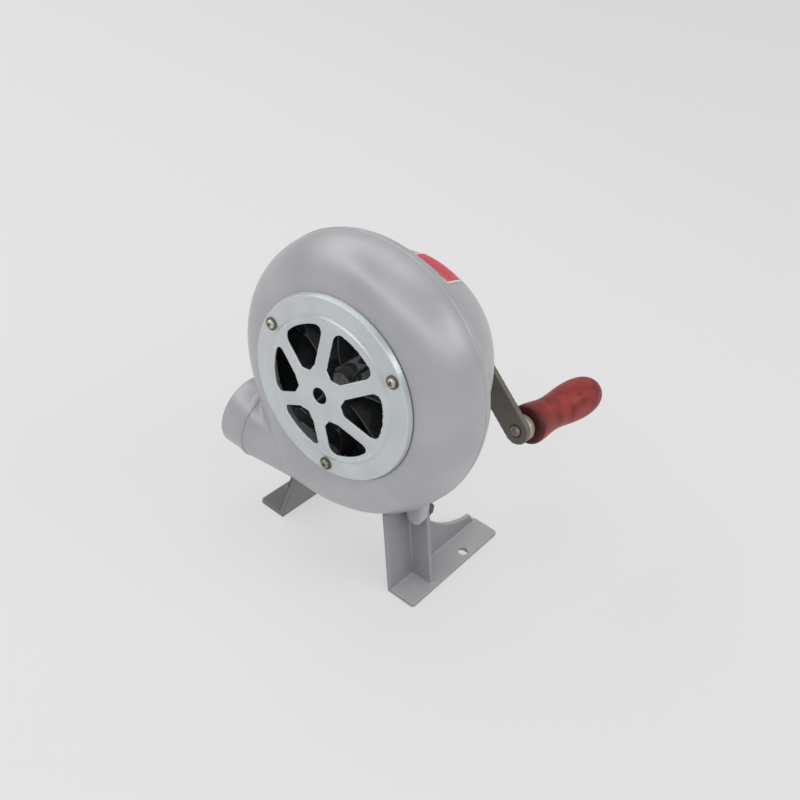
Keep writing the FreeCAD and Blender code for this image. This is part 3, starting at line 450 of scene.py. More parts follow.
def screw_tree():
    """Pan head screws on points, all facing one way, each turned at random. Sizes are in millimetres."""
    tree = bpy.data.node_groups.new("pan head screws", "GeometryNodeTree")
    sockets = tree.interface
    sockets.new_socket("Geometry", in_out="OUTPUT", socket_type="NodeSocketGeometry")
    sockets.new_socket("Seats", in_out="INPUT", socket_type="NodeSocketGeometry")
    for name in ("Head radius", "Head height", "Crown", "Recess reach", "Recess width", "Recess depth",
                 "Shank radius", "Shank length"):
        sockets.new_socket(name, in_out="INPUT", socket_type="NodeSocketFloat")
    sockets.new_socket("Facing", in_out="INPUT", socket_type="NodeSocketVector")
    sockets.new_socket("Seed", in_out="INPUT", socket_type="NodeSocketInt")
    sockets.new_socket("Finish", in_out="INPUT", socket_type="NodeSocketMaterial")
    given = add(tree, "NodeGroupInput").node.outputs
    radius, height, crown = given["Head radius"], given["Head height"], given["Crown"]

    # The head is a cylinder whose top is crowned and whose rim draws in as it rises
    head = add(tree, "GeometryNodeMeshCylinder", {"Vertices": 36, "Side Segments": 4, "Fill Segments": 5,
                                                  "Radius": radius, "Depth": height})
    half = add(tree, "ShaderNodeMath", {0: height, 1: 0.5}, operation="MULTIPLY")
    at = add(tree, "ShaderNodeSeparateXYZ", {0: add(tree, "GeometryNodeInputPosition")}).node.outputs
    lifted = add(tree, "ShaderNodeMath", {0: at["Z"], 1: half}, operation="ADD")
    risen = add(tree, "ShaderNodeMath", {0: lifted, 1: height}, operation="DIVIDE")
    plan = add(tree, "ShaderNodeCombineXYZ", {"X": at["X"], "Y": at["Y"]})
    out = add(tree, "ShaderNodeVectorMath", {0: plan}, out="Value", operation="LENGTH")
    out = add(tree, "ShaderNodeMath", {0: out, 1: radius}, operation="DIVIDE")
    fall = add(tree, "ShaderNodeMath", {0: out, 1: 2.0}, operation="POWER")
    dome = add(tree, "ShaderNodeMath", {0: 1.0, 1: fall}, operation="SUBTRACT")
    dome = add(tree, "ShaderNodeMath", {0: dome, 1: crown}, operation="MULTIPLY")
    dome = add(tree, "ShaderNodeMath", {0: dome, 1: risen}, operation="MULTIPLY")
    top = add(tree, "ShaderNodeMath", {0: lifted, 1: dome}, operation="ADD")
    draw = add(tree, "ShaderNodeMath", {0: risen, 1: 3.0}, operation="POWER")
    draw = add(tree, "ShaderNodeMath", {0: draw, 1: -0.2, 2: 1.0}, operation="MULTIPLY_ADD")
    wide = add(tree, "ShaderNodeVectorMath", {0: plan, "Scale": draw}, operation="SCALE")
    shape = add(tree, "ShaderNodeVectorMath", {0: wide, 1: add(tree, "ShaderNodeCombineXYZ", {"Z": top})},
                operation="ADD")
    head = add(tree, "GeometryNodeSetPosition", {"Geometry": head, "Position": shape})

    # The shank runs a little way up into the head, and two crossed bars sink the recess
    length = given["Shank length"]
    sunk = add(tree, "ShaderNodeMath", {0: length, 1: -0.5, 2: 0.3}, operation="MULTIPLY_ADD")
    sunk = add(tree, "ShaderNodeCombineXYZ", {"Z": sunk})
    shank = add(tree, "GeometryNodeMeshCylinder", {"Vertices": 20, "Radius": given["Shank radius"],
                                                   "Depth": length})
    shank = add(tree, "GeometryNodeTransform", {"Geometry": shank, "Translation": sunk})
    deep = add(tree, "ShaderNodeMath", {0: given["Recess depth"], 1: 2.0}, operation="MULTIPLY")
    peak = add(tree, "ShaderNodeMath", {0: height, 1: crown}, operation="ADD")
    lift = add(tree, "ShaderNodeCombineXYZ", {"Z": peak})
    bars = []
    for x, y in (("Recess reach", "Recess width"), ("Recess width", "Recess reach")):
        size = add(tree, "ShaderNodeCombineXYZ", {"X": given[x], "Y": given[y], "Z": deep})
        bar = add(tree, "GeometryNodeMeshCube", {"Size": size})
        bars.append(add(tree, "GeometryNodeTransform", {"Geometry": bar, "Translation": lift}))
    body = add(tree, "GeometryNodeMeshBoolean", {"Mesh 2": head}, operation="UNION").node
    tree.links.new(shank, body.inputs["Mesh 2"])
    recess = add(tree, "GeometryNodeMeshBoolean", {"Mesh 2": bars[0]}, operation="UNION").node
    tree.links.new(bars[1], recess.inputs["Mesh 2"])
    screw = add(tree, "GeometryNodeMeshBoolean", {"Mesh 1": body.outputs[0], "Mesh 2": recess.outputs[0]},
                operation="DIFFERENCE")
    screw = add(tree, "GeometryNodeSetShadeSmooth", {"Geometry": screw, "Shade Smooth": True})
    bend = add(tree, "GeometryNodeInputMeshEdgeAngle")
    sharp = add(tree, "FunctionNodeCompare", {"A": bend, "B": math.radians(34)}, operation="GREATER_THAN")
    screw = add(tree, "GeometryNodeSetShadeSmooth", {"Geometry": screw, "Selection": sharp,
                                                     "Shade Smooth": False}, domain="EDGE")

    turn = add(tree, "FunctionNodeRandomValue", {2: 0.0, 3: math.tau, "Seed": given["Seed"]}, out=1)
    spin = add(tree, "FunctionNodeEulerToRotation", {0: add(tree, "ShaderNodeCombineXYZ", {"Z": turn})})
    facing = add(tree, "FunctionNodeAlignRotationToVector", {"Vector": given["Facing"]}, axis="Z")
    facing = add(tree, "FunctionNodeRotateRotation", {0: facing, 1: spin}, rotation_space="LOCAL")
    placed = add(tree, "GeometryNodeInstanceOnPoints", {"Points": given["Seats"], "Instance": screw,
                                                        "Rotation": facing, "Scale": (mm, mm, mm)})
    placed = add(tree, "GeometryNodeRealizeInstances", {"Geometry": placed})
    placed = add(tree, "GeometryNodeSetMaterial", {"Geometry": placed, "Material": given["Finish"]})
    add(tree, "NodeGroupOutput", {"Geometry": placed})
    return tree


pan_heads = screw_tree()


def place_screws(name, node, seats, sizes, facing, finish, body, seed):
    """Screws on their seats, baked to one plain mesh that stands for a node."""
    mesh = bpy.data.meshes.new(name)
    mesh.from_pydata(seats, [], [])
    piece = link(name, mesh, finish)
    screws = piece.modifiers.new("screws", "NODES")
    screws.node_group = pan_heads
    values = dict(sizes, Facing=facing, Seed=seed, Finish=finish)
    for socket in pan_heads.interface.items_tree:
        if socket.name in values:
            screws[socket.identifier] = values[socket.name]
    graph = bpy.context.evaluated_depsgraph_get()
    piece.data = bpy.data.meshes.new_from_object(piece.evaluated_get(graph))
    piece.modifiers.remove(screws)
    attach(piece, body)
    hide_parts(node)


def around(radius, angles, y):
    """Points round the fan axis, with angles in degrees counted from +X towards +Z."""
    return [(radius * math.cos(math.radians(a)), y, fan_axis.z + radius * math.sin(math.radians(a)))
            for a in angles]


def head_rise(sizes):
    """How far a screw's head stands over its seat."""
    return (sizes["Head height"] + sizes["Crown"]) * mm


yellow_zinc = plated_steel("cover screws, yellow zinc plated steel", "#D0CEC2", "#969179", 0.26, 0.40,
                           metallic=0.6)
white_zinc = plated_steel("rear screws, zinc plated steel", "#B4B6B8", "#85878A", 0.28, 0.42)
cover_screw_size = {"Head radius": 2.9, "Head height": 1.4, "Crown": 0.75, "Recess reach": 3.4,
                    "Recess width": 1.1, "Recess depth": 1.3, "Shank radius": 2.0, "Shank length": 8.8}
cover_screw_ring, washer_front = 53.3 * mm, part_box("inlet_cover_washers")[0].y
cover_seats = around(cover_screw_ring, [34.5 + 120 * i for i in range(3)], washer_front)
place_screws("cover_screws", "inlet_cover_screws", cover_seats, cover_screw_size, (0, -1, 0), yellow_zinc,
             "housing", seed=4)

plate_screw_size = {"Head radius": 3.0, "Head height": 1.4, "Crown": 0.6, "Recess reach": 3.2,
                    "Recess width": 0.9, "Recess depth": 1.1, "Shank radius": 2.0, "Shank length": 10.0}
plate_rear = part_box("back_plate_screws")[1].y - head_rise(plate_screw_size)
plate_screw_ring, lowest_screw_x = 67.8 * mm, 6.0 * mm
lowest_screw_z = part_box("back_plate_screws")[0].z + plate_screw_size["Head radius"] * mm
plate_seats = around(plate_screw_ring, [50 * i for i in range(5)], plate_rear)
plate_seats.append((lowest_screw_x, plate_rear, lowest_screw_z))
place_screws("plate_screws", "back_plate_screws", plate_seats, plate_screw_size, (0, 1, 0), white_zinc,
             "housing", seed=7)

bell_screw_size = {"Head radius": 3.6, "Head height": 1.8, "Crown": 0.8, "Recess reach": 4.0,
                   "Recess width": 1.1, "Recess depth": 1.4, "Shank radius": 2.0, "Shank length": 44.0}
bell_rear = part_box("gear_case_screws")[1].y - head_rise(bell_screw_size)
bell_screw_ring = 41.0 * mm
bell_seats = around(bell_screw_ring, (30, 150, 270), bell_rear)
place_screws("bell_screws", "gear_case_screws", bell_seats, bell_screw_size, (0, 1, 0), white_zinc,
             "housing", seed=2)

# Label plate
# A thin tin plate bent to the bell and stuck on near its top, with red enamel and a white border. It is
# left bare: only the border, a few dark specks and faint clouds show.

label_low, label_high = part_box("label_plate")
label_angles = (64.5, 93.5)
label_reach = (label_low.y, label_high.y)
label_corner = 1.6 * mm
label_glue, label_sheet = 0.12 * mm, 0.4 * mm
label_border, border_blur = 1.5 * mm, 0.15 * mm


def enamelled_label(width, height):
    """Stoved enamel on tin: even and glossy, a white border kept free of red, fly specks 0.5 mm wide."""
    material, tree, shader, place = new_material("label, red enamel with a white border", Metallic=0.0)
    chart = add(tree, "ShaderNodeTexCoord", out="UV")
    chart = add(tree, "ShaderNodeSeparateXYZ", {0: chart}).node.outputs
    gaps = []
    for axis, size in (("X", width), ("Y", height)):
        aside = add(tree, "ShaderNodeMath", {0: chart[axis], 1: 0.5}, operation="SUBTRACT")
        aside = add(tree, "ShaderNodeMath", {0: aside}, operation="ABSOLUTE")
        aside = add(tree, "ShaderNodeMath", {0: aside, 1: -size, 2: size / 2}, operation="MULTIPLY_ADD")
        gaps.append(aside)
    gap = add(tree, "ShaderNodeMath", {0: gaps[0], 1: gaps[1]}, operation="MINIMUM")
    ragged = add(tree, "ShaderNodeTexNoise", {"Vector": place, "Scale": 1 / (2 * mm), "Detail": 2.0})
    gap = add(tree, "ShaderNodeMath", {0: ragged, 1: 0.2 * mm, 2: gap}, operation="MULTIPLY_ADD")
    red = add(tree, "ShaderNodeMapRange", {0: gap, 1: label_border, 2: label_border + border_blur,
                                           3: 0.0, 4: 1.0})
    cloud = add(tree, "ShaderNodeTexNoise", {"Vector": place, "Scale": 1 / (7 * mm), "Detail": 3.0})
    enamel = add(tree, "ShaderNodeMix", {0: cloud, 6: "#B82C3A", 7: "#CB4450"}, out=2, data_type="RGBA")
    colour = add(tree, "ShaderNodeMix", {0: red, 6: "#DAD6D4", 7: enamel}, out=2, data_type="RGBA")
    fly = add(tree, "ShaderNodeTexNoise", {"Vector": place, "Scale": 1 / (1.6 * mm), "Detail": 1.0})
    fly = add(tree, "ShaderNodeMapRange", {0: fly, 1: 0.72, 2: 0.75, 3: 0.0, 4: 0.8})
    colour = add(tree, "ShaderNodeMix", {0: fly, 6: colour, 7: "#4A1D20"}, out=2, data_type="RGBA")
    rough = add(tree, "ShaderNodeMapRange", {0: cloud, 1: 0.3, 2: 0.7, 3: 0.25, 4: 0.4})
    normal = add(tree, "ShaderNodeBump", {"Height": cloud, "Distance": 0.08 * mm})
    give(tree, shader, Base_Color=colour, Roughness=rough, Normal=normal)
    return material


bell_faces = skin_of(bell)
label_radius = 73 * mm
label_width = math.radians(label_angles[1] - label_angles[0]) * label_radius
label_height = label_reach[1] - label_reach[0]
columns, rows = 60, 24
work = bmesh.new()
chart = work.loops.layers.uv.new("chart")
grid, places = [], {}
for i in range(columns + 1):
    line = []
    for j in range(rows + 1):
        # A point near a corner is drawn in onto the corner's arc
        flat = Vector(((i / columns - 0.5) * label_width, (j / rows - 0.5) * label_height))
        core = Vector((max(abs(flat.x) - label_width / 2 + label_corner, 0),
                       max(abs(flat.y) - label_height / 2 + label_corner, 0)))
        if core.length > label_corner:
            scale = label_corner / core.length
            flat.x -= math.copysign(core.x * (1 - scale), flat.x)
            flat.y -= math.copysign(core.y * (1 - scale), flat.y)
        angle = math.radians(sum(label_angles) / 2) + flat.x / label_radius
        y = sum(label_reach) / 2 + flat.y
        hit, out = on_skin(bell_faces, angle, y)
        vert = work.verts.new(hit + out * label_glue)
        places[vert] = (flat.x / label_width + 0.5, flat.y / label_height + 0.5)
        line.append(vert)
    grid.append(line)
for i in range(columns):
    for j in range(rows):
        face = work.faces.new((grid[i][j], grid[i][j + 1], grid[i + 1][j + 1], grid[i + 1][j]))
        for loop in face.loops:
            loop[chart].uv = places[loop.vert]
bmesh.ops.smooth_vert(work, verts=work.verts, factor=0.5, use_axis_x=True, use_axis_y=True,
                      use_axis_z=True)
work.normal_update()
if sum(face.normal.z for face in work.faces) < 0:
    bmesh.ops.reverse_faces(work, faces=work.faces)
label_mesh = bpy.data.meshes.new("label")
work.to_mesh(label_mesh)
work.free()
label = link("label", label_mesh, enamelled_label(label_width, label_height))
thick = label.modifiers.new("sheet", "SOLIDIFY")
thick.thickness = label_sheet
thick.offset = 1.0
bake(label)
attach(label, "housing")
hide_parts("label_plate")

# Inlet cover and its washers
# One disc of 1.2 mm sheet, pressed to a shallow dish with six windows, then bright zinc plated. It
# shows pale blue grey, with a soft shine. Three dark washers keep the screw heads off it.


def zinc_plate():
    """Bright zinc on pressed sheet: pale, faintly blue, a soft shine, faint clouds and fine scratches, and
    near-white painted highlights along its edges.
    """
    material, tree, shader, place = new_material("inlet cover, zinc plated sheet", Metallic=0.45)
    cloud = add(tree, "ShaderNodeTexNoise", {"Vector": place, "Scale": 1 / (24 * mm), "Detail": 2.0})
    share = add(tree, "ShaderNodeMapRange", {0: cloud, 1: 0.36, 2: 0.64, 3: 0.0, 4: 1.0})
    colour = add(tree, "ShaderNodeMix", {0: share, 6: "#BEC5C7", 7: "#C8CED0"}, out=2, data_type="RGBA")
    bloom = add(tree, "ShaderNodeTexNoise", {"Vector": place, "Scale": 1 / (2.2 * mm), "Detail": 4.0})
    speck = add(tree, "ShaderNodeMapRange", {0: bloom, 1: 0.64, 2: 0.72, 3: 0.0, 4: 0.35})
    colour = add(tree, "ShaderNodeMix", {0: speck, 6: colour, 7: "#B3BCBE"}, out=2, data_type="RGBA")
    drawn = add(tree, "ShaderNodeMapping", {"Vector": place, "Rotation": (0, 0.6, 0), "Scale": (12, 1, 1)})
    scratch = add(tree, "ShaderNodeTexNoise", {"Vector": drawn, "Scale": 1 / (9 * mm), "Detail": 3.0})
    scratch = add(tree, "ShaderNodeMapRange", {0: scratch, 1: 0.68, 2: 0.73, 3: 0.0, 4: 0.3})
    colour = add(tree, "ShaderNodeMix", {0: scratch, 6: colour, 7: "#97A2A4"}, out=2, data_type="RGBA")
    # Painted highlight: convex edges, such as the rolled rim and the window edges, are lightened to near white
    edge = add(tree, "ShaderNodeNewGeometry", out="Pointiness")
    painted_edge_highlight = add(tree, "ShaderNodeMapRange", {0: edge, 1: 0.52, 2: 0.60, 3: 0.0, 4: 0.9})
    colour = add(tree, "ShaderNodeMix", {0: painted_edge_highlight, 6: colour, 7: "#EEF1F1"}, out=2, data_type="RGBA")
    rough = add(tree, "ShaderNodeMapRange", {0: cloud, 1: 0.3, 2: 0.7, 3: 0.30, 4: 0.40})
    buckle = add(tree, "ShaderNodeTexNoise", {"Vector": place, "Scale": 1 / (30 * mm), "Detail": 1.0})
    normal = add(tree, "ShaderNodeBump", {"Height": buckle, "Distance": 0.4 * mm})
    normal = add(tree, "ShaderNodeBump", {"Height": bloom, "Distance": 0.01 * mm, "Normal": normal})
    give(tree, shader, Base_Color=colour, Roughness=rough, Normal=normal)
    return material


cover = cast("cover", "inlet_cover", zinc_plate(), skin=0.55 * mm, softening=7)

# A rounded bead is pressed where the dish rises from the flat rim
bead_radius, bead_half, bead_height = 46.0 * mm, 2.4 * mm, 1.4 * mm
for vert in cover.data.vertices:
    off = (math.hypot(vert.co.x, vert.co.z - fan_axis.z) - bead_radius) / bead_half
    if abs(off) < 1:
        vert.co.y -= bead_height * (1 + math.cos(math.pi * off)) / 2
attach(cover, "housing")
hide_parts("inlet_cover")


def dress(finish, *names):
    """Give CAD nodes a finish in place of their plain one."""
    for name in names:
        nodes[name].data.materials.clear()
        nodes[name].data.materials.append(finish)


dark_steel = plated_steel("washers, oxidised steel", "#6E6E6B", "#4A4A47", 0.4, 0.6, metallic=0.6)
dress(dark_steel, "inlet_cover_washers")

# Feet
# Each is a small iron casting: a base plate, a web along it that sweeps down to the rear, and a cross
# web that is screwed to a lug of the casing. Their grey is painted darker than the casing's as shade,
# the left foot's much darker, as the casing's shadow.

# Both feet have the casing's enamel; these darker colours are painted shade, the left one the casing's shadow
right_foot_shade_paint = painted_iron("right foot, grey enamel with painted shade", "#8B8B8F", "#7F7F83", "#B9BABC",
                           wear=0.8, soil_and_shade=0.9, dust=0.55, wave=0.25 * mm, grit=0.02 * mm)
left_foot_shadow_paint = painted_iron("left foot, grey enamel with painted shadow", "#606265", "#56585B", "#95979A",
                          wear=0.8, soil_and_shade=0.9, dust=0.1, wave=0.25 * mm, grit=0.02 * mm)
for name, node, paint in (("foot_left", "left_foot", left_foot_shadow_paint),
                          ("foot_right", "right_foot", right_foot_shade_paint)):
    foot = cast(name, node, paint, skin=0.7 * mm, softening=9)
    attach(foot, "housing")
    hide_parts(node)
dress(dark_steel, "foot_screws", "foot_washers")

# Impeller
# Eight curved blades spot welded to a sheet disc, on a cast hub that a nut holds on the fan shaft. All
# of it is dipped in dark grey paint, and the disc and the hub carry sharp edged pale patches.


def dipped_paint(name, dip, dust):
    """Dark dip paint on sheet steel: dull, with sharp edged patches of a second colour about 14 mm across."""
    material, tree, shader, place = new_material(name, Metallic=0.0)
    cloud = add(tree, "ShaderNodeTexNoise", {"Vector": place, "Scale": 1 / (14 * mm), "Detail": 1.0})
    share = add(tree, "ShaderNodeMapRange", {0: cloud, 1: 0.52, 2: 0.56, 3: 0.0, 4: 1.0})
    colour = add(tree, "ShaderNodeMix", {0: share, 6: dip, 7: dust}, out=2, data_type="RGBA")
    rough = add(tree, "ShaderNodeMapRange", {0: cloud, 1: 0.3, 2: 0.7, 3: 0.5, 4: 0.7})
    grain = add(tree, "ShaderNodeTexNoise", {"Vector": place, "Scale": 1 / (1.2 * mm), "Detail": 2.0})
    normal = add(tree, "ShaderNodeBump", {"Height": grain, "Distance": 0.02 * mm})
    give(tree, shader, Base_Color=colour, Roughness=rough, Normal=normal)
    return material


dress(dipped_paint("blades, dark dip paint", "#333539", "#46484C"), "impeller_blades")
dress(dipped_paint("impeller disc, dark dip paint with pale patches", "#424448", "#A2A4A6"), "impeller_disc",
      "impeller_hub")

# Shafts, bushes and gear train
# The crank turns a 42 tooth gear that drives the idler, whose 42 tooth gear drives the fan's pinion.
# The gears are cut steel in grease, the shafts turned steel and the bushes sintered bronze.

steel = plated_steel("shafts and nuts, turned steel", "#A6A5A1", "#838280", 0.28, 0.42)
dress(steel, "fan_shaft", "fan_nut", "fan_thrust_washer", "idler_axle", "crank_shaft", "crank_spacer",
      "crank_washer", "crank_nut", "handle_washer")
dress(plated_steel("gears, greased steel", "#6F6E6A", "#4B4943", 0.22, 0.36), "fan_pinion", "idler_gear",
      "idler_pinion", "crank_gear")
dress(plated_steel("bushes, sintered bronze", "#B08850", "#8C6A3C", 0.35, 0.5), "fan_bush", "crank_bush")

# Crank arm
# A flat bar of hot rolled steel, sheared, bent once ahead of the hub and ground round at its ends. Its
# dark skin is worn brown and pale along the edges. A nut holds it on the square of the crank shaft.


grip_foot = Vector(joints["handle_spin"]["pos_m"])
grip_axis = Vector(joints["handle_spin"]["axis"]).normalized()


def rolled_steel():
    """Mill scale on hot rolled bar: dark olive grey and dull, rubbed pale on its edges, tan round the
    handle's rivet, with a painted shadow ring right beside the rivet's head."""
    material, tree, shader, place = new_material("crank arm, hot rolled steel", Metallic=0.35)
    cloud = add(tree, "ShaderNodeTexNoise", {"Vector": place, "Scale": 1 / (10 * mm), "Detail": 5.0})
    share = add(tree, "ShaderNodeMapRange", {0: cloud, 1: 0.38, 2: 0.66, 3: 0.0, 4: 1.0})
    colour = add(tree, "ShaderNodeMix", {0: share, 6: "#676560", 7: "#706A60"}, out=2, data_type="RGBA")
    edge = add(tree, "ShaderNodeNewGeometry", out="Pointiness")
    worn = add(tree, "ShaderNodeMapRange", {0: edge, 1: 0.53, 2: 0.60, 3: 0.0, 4: 0.8})
    colour = add(tree, "ShaderNodeMix", {0: worn, 6: colour, 7: "#9A9791"}, out=2, data_type="RGBA")
    aside = add(tree, "ShaderNodeVectorMath", {0: place, 1: grip_foot}, operation="SUBTRACT")
    aside = add(tree, "ShaderNodeVectorMath", {0: aside, 1: grip_axis}, operation="CROSS_PRODUCT")
    aside = add(tree, "ShaderNodeVectorMath", {0: aside}, out="Value", operation="LENGTH")
    tan = add(tree, "ShaderNodeMapRange", {0: aside, 1: 5 * mm, 2: 17 * mm, 3: 0.55, 4: 0.0})
    colour = add(tree, "ShaderNodeMix", {0: tan, 6: colour, 7: "#7C7566"}, out=2, data_type="RGBA")
    # Painted shadow: a dark ring on the arm just round the rivet's head
    rivet_shadow = add(tree, "ShaderNodeMapRange", {0: aside, 1: 4.0 * mm, 2: 5.6 * mm, 3: 0.9, 4: 0.0})
    colour = add(tree, "ShaderNodeMix", {0: rivet_shadow, 6: colour, 7: "#2B2423"}, out=2, data_type="RGBA")
    rough = add(tree, "ShaderNodeMapRange", {0: cloud, 1: 0.3, 2: 0.7, 3: 0.40, 4: 0.55})
    scale = add(tree, "ShaderNodeTexNoise", {"Vector": place, "Scale": 1 / (1.5 * mm), "Detail": 3.0})
    normal = add(tree, "ShaderNodeBump", {"Height": scale, "Distance": 0.04 * mm})
    give(tree, shader, Base_Color=colour, Roughness=rough, Normal=normal)
    return material


arm = cast("arm", "crank_arm", rolled_steel(), skin=0.5 * mm, softening=3)
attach(arm, "crank")
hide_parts("crank_arm")

# Handle
# A steel pin is riveted through the arm. A pale turned collar and a washer sit on it, and then the grip:
# beech, turned with a flared base, a waist and a swell, and dipped in red lacquer that has gone blotchy.

rivet_profile = [(62.0, 0), (62.0, 3.5), (61.5, 3.95), (0.2, 3.95), (-0.3, 3.9), (-0.9, 3.75),
                 (-1.5, 3.4), (-2.1, 2.7), (-2.5, 1.6), (-2.7, 0)]
hammered = plated_steel("handle rivet, hammered steel", "#A79A96", "#7C716C", 0.3, 0.45, metallic=0.7)
spindle = turned("rivet", [(a * mm, r * mm) for a, r in rivet_profile], grip_foot, grip_axis, hammered,
                 closed=False, steps=48)
spindle.data.shade_smooth()
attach(spindle, "crank")
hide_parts("handle_spindle")

collar_profile = [(4.3, 3.98), (4.3, 8.6), (5.2, 9.2), (9.1, 9.2), (9.1, 8.5), (10.0, 8.5), (10.0, 3.98)]
aluminium = plated_steel("handle collar, turned aluminium", "#B9B3A8", "#9A9488", 0.35, 0.5, metallic=0.5)
collar = turned("collar", [(a * mm, r * mm) for a, r in collar_profile], grip_foot, grip_axis, aluminium,
                closed=True, steps=64)
round_edges(collar, 0.25 * mm)
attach(collar, "crank")
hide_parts("handle_collar")


def lacquered_beech():
    """Red lacquer over turned beech: glossy, grain 1.2 mm wide along the grip, blotches and handling dirt,
    a dark end face, and bare pale rubs where a hand turns it."""
    name = "grip, red lacquer on turned beech"
    material, tree, shader, place = new_material(name, Metallic=0.0, IOR=1.42)
    lay = grip_axis.to_track_quat("Z", "Y").inverted()
    start = lay @ grip_foot
    along = add(tree, "ShaderNodeMapping", {"Vector": place, "Rotation": lay.to_euler(),
                                            "Location": (-start.x, -start.y, -start.z)})
    grain = add(tree, "ShaderNodeMapping", {"Vector": along, "Scale": (1, 1, 0.07)})
    fibre = add(tree, "ShaderNodeTexNoise", {"Vector": grain, "Scale": 1 / (1.2 * mm), "Detail": 3.0})
    blotch = add(tree, "ShaderNodeTexNoise", {"Vector": along, "Scale": 1 / (13 * mm), "Detail": 4.0})
    share = add(tree, "ShaderNodeMapRange", {0: blotch, 1: 0.38, 2: 0.64, 3: 0.0, 4: 1.0})
    colour = add(tree, "ShaderNodeMix", {0: share, 6: "#71211E", 7: "#9A3430"}, out=2, data_type="RGBA")
    streak = add(tree, "ShaderNodeMapRange", {0: fibre, 1: 0.5, 2: 0.72, 3: 0.0, 4: 0.4})
    colour = add(tree, "ShaderNodeMix", {0: streak, 6: colour, 7: "#641C1A"}, out=2, data_type="RGBA")
    rub = add(tree, "ShaderNodeTexNoise", {"Vector": along, "Scale": 1 / (4 * mm), "Detail": 4.0})
    rub = add(tree, "ShaderNodeMapRange", {0: rub, 1: 0.62, 2: 0.74, 3: 0.0, 4: 0.35})
    colour = add(tree, "ShaderNodeMix", {0: rub, 6: colour, 7: "#A8504A"}, out=2, data_type="RGBA")
    reach = add(tree, "ShaderNodeSeparateXYZ", {0: along}, out="Z")
    base = add(tree, "ShaderNodeMapRange", {0: reach, 1: 13.2 * mm, 2: 16.5 * mm, 3: 0.8, 4: 0.0})
    colour = add(tree, "ShaderNodeMix", {0: base, 6: colour, 7: "#3A1214"}, out=2, data_type="RGBA")
    rough = add(tree, "ShaderNodeMapRange", {0: blotch, 1: 0.3, 2: 0.7, 3: 0.52, 4: 0.42})
    lathe = add(tree, "ShaderNodeMapping", {"Vector": along, "Scale": (0.05, 0.05, 1)})
    rings = add(tree, "ShaderNodeTexNoise", {"Vector": lathe, "Scale": 1 / (1.8 * mm), "Detail": 2.0})
    normal = add(tree, "ShaderNodeBump", {"Height": rings, "Distance": 0.06 * mm})
    normal = add(tree, "ShaderNodeBump", {"Height": fibre, "Distance": 0.04 * mm, "Normal": normal})
    give(tree, shader, Base_Color=colour, Roughness=rough, Normal=normal)
    return material


grip = cast("grip", "handle_grip", lacquered_beech(), skin=0.6 * mm, softening=2)

# The grip is drawn a little fuller and longer than its solid, from its base out, but not its bore
base_reach, grip_bore, bore_end = 11.6 * mm, 4.5 * mm, 55 * mm
grip_base = grip_foot + grip_axis * base_reach
fuller, longer = 1.05, 1.10
for vert in grip.data.vertices:
    run = (vert.co - grip_base).dot(grip_axis)
    spoke = vert.co - grip_base - grip_axis * run
    if spoke.length > grip_bore or run > bore_end:
        vert.co = grip_base + grip_axis * run * longer + spoke * fuller
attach(grip, "handle")
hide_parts("handle_grip")

# Floor, light and camera
# A pale floor without a horizon. Seen by the camera it is evened out to a calm pale grey that keeps a
# soft shadow. One broad lamp high at the back and a weaker one to the right, under a pale sky that has a
# brighter band at the front and the sides.

floor_mesh = bpy.data.meshes.new("floor")
half = 4.0
corners = [(-half, -half, 0), (half, -half, 0), (half, half, 0), (-half, half, 0)]
floor_mesh.from_pydata(corners, [], [(0, 1, 2, 3)])
floor_paint, tree, shader, place = new_material("floor, pale card", Roughness=0.9)
shader.inputs["Base Color"].default_value = linear("#E6E5E5")
rays = add(tree, "ShaderNodeLightPath").node.outputs
seen = rays["Is Camera Ray"]
for kind in ("Is Glossy Ray", "Is Transmission Ray"):
    seen = add(tree, "ShaderNodeMath", {0: seen, 1: rays[kind]}, operation="MAXIMUM")
share = add(tree, "ShaderNodeMath", {0: seen, 1: 0.68}, operation="MULTIPLY")
far = add(tree, "ShaderNodeVectorMath", {0: place, 1: (0.45, 0.9, 0)}, out="Value", operation="DOT_PRODUCT")
far = add(tree, "ShaderNodeMapRange", {0: far, 1: -0.35, 2: 0.75, 3: 0.0, 4: 1.0})
tone = add(tree, "ShaderNodeMix", {0: far, 6: "#E4E2E3", 7: "#D7D6D6"}, out=2, data_type="RGBA")
glow = add(tree, "ShaderNodeEmission", {"Color": tone, "Strength": 1.0})
card = add(tree, "ShaderNodeMixShader", {0: share, 1: shader.outputs[0], 2: glow})
sheet = next(node for node in tree.nodes if node.type == "OUTPUT_MATERIAL")
tree.links.new(card, sheet.inputs["Surface"])
floor = link("floor", floor_mesh, floor_paint)

world = bpy.data.worlds.new("studio")
bpy.context.scene.world = world
world.use_nodes = True
tree = world.node_tree
sky = tree.nodes["Background"]
sky.inputs["Color"].default_value = linear("#F8F8F8")

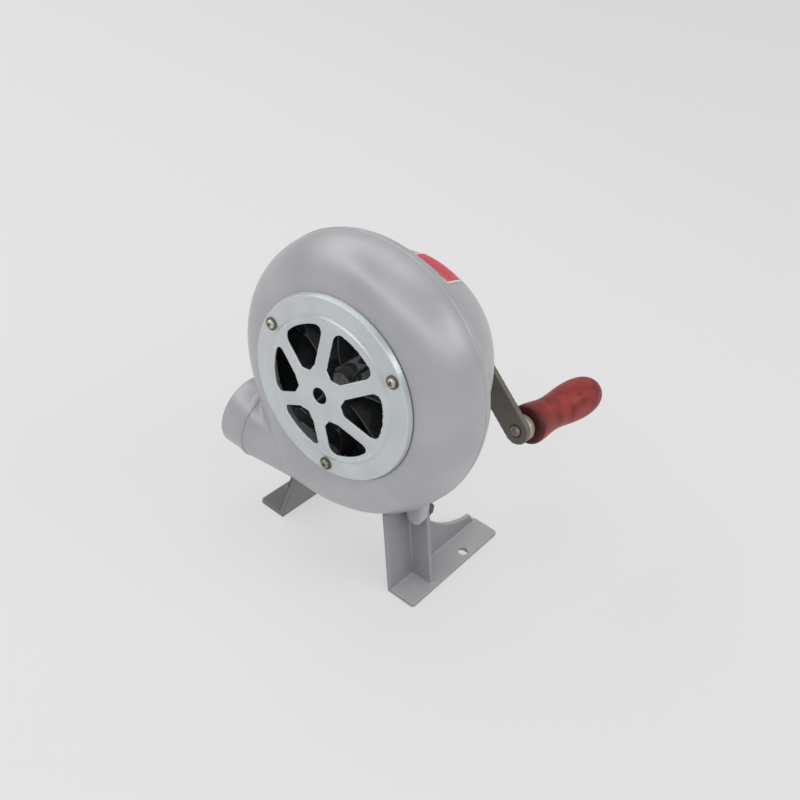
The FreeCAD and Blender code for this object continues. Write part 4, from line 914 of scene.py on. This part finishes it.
# Windows at the front and sides make a brighter band 27 to 50 degrees up, which shows in the paint
toward = add(tree, "ShaderNodeTexCoord", out="Generated")
toward = add(tree, "ShaderNodeSeparateXYZ", {0: toward}).node.outputs
under = add(tree, "ShaderNodeMapRange", {0: toward["Z"], 1: 0.46, 2: 0.56, 3: 0.0, 4: 1.0})
over = add(tree, "ShaderNodeMapRange", {0: toward["Z"], 1: 0.66, 2: 0.76, 3: 1.0, 4: 0.0})
front = add(tree, "ShaderNodeMapRange", {0: toward["Y"], 1: 0.2, 2: 0.6, 3: 1.0, 4: 0.0})
windows = add(tree, "ShaderNodeMath", {0: under, 1: over}, operation="MULTIPLY")
windows = add(tree, "ShaderNodeMath", {0: windows, 1: front}, operation="MULTIPLY")
glow = add(tree, "ShaderNodeMath", {0: windows, 1: 3.0, 2: 0.45}, operation="MULTIPLY_ADD")
rays = add(tree, "ShaderNodeLightPath").node.outputs
calm = add(tree, "ShaderNodeMix", {0: rays["Is Camera Ray"], 2: glow, 3: 0.85}, out=0)
tree.links.new(calm, sky.inputs["Strength"])


def lamp(name, place, target, size, power):
    """A round soft lamp that faces a point."""
    data = bpy.data.lights.new(name, "AREA")
    data.shape = "DISK"
    data.size = size
    data.energy = power
    light = bpy.data.objects.new(name, data)
    light.location = place
    light.rotation_euler = (Vector(target) - Vector(place)).to_track_quat("-Z", "Y").to_euler()
    bpy.context.scene.collection.objects.link(light)


lamp("overhead", (-0.3, 0.3, 1.6), (0, 0, 0.1), size=1.2, power=4)
lamp("window", (0.9, 0.5, 1.0), (0, 0, 0.15), size=0.7, power=2)

azimuth, elevation, roll = (math.radians(v) for v in (33.25, 35.98, 9.18))
back = Vector((math.sin(azimuth) * math.cos(elevation), -math.cos(azimuth) * math.cos(elevation),
               math.sin(elevation)))
right = Vector((math.cos(azimuth), math.sin(azimuth), 0))
up = back.cross(right)
right, up = (right * math.cos(roll) + up * math.sin(roll), up * math.cos(roll) - right * math.sin(roll))
camera_data = bpy.data.cameras.new("camera")
camera_data.sensor_width = 36
camera_data.lens = 44.09
camera = bpy.data.objects.new("camera", camera_data)
camera.matrix_world = Matrix((right, up, back)).transposed().to_4x4()
camera.location = (0.2900, -0.4552, 0.4908)
bpy.context.scene.collection.objects.link(camera)
bpy.context.scene.camera = camera
bpy.context.scene.view_settings.view_transform = "Standard"
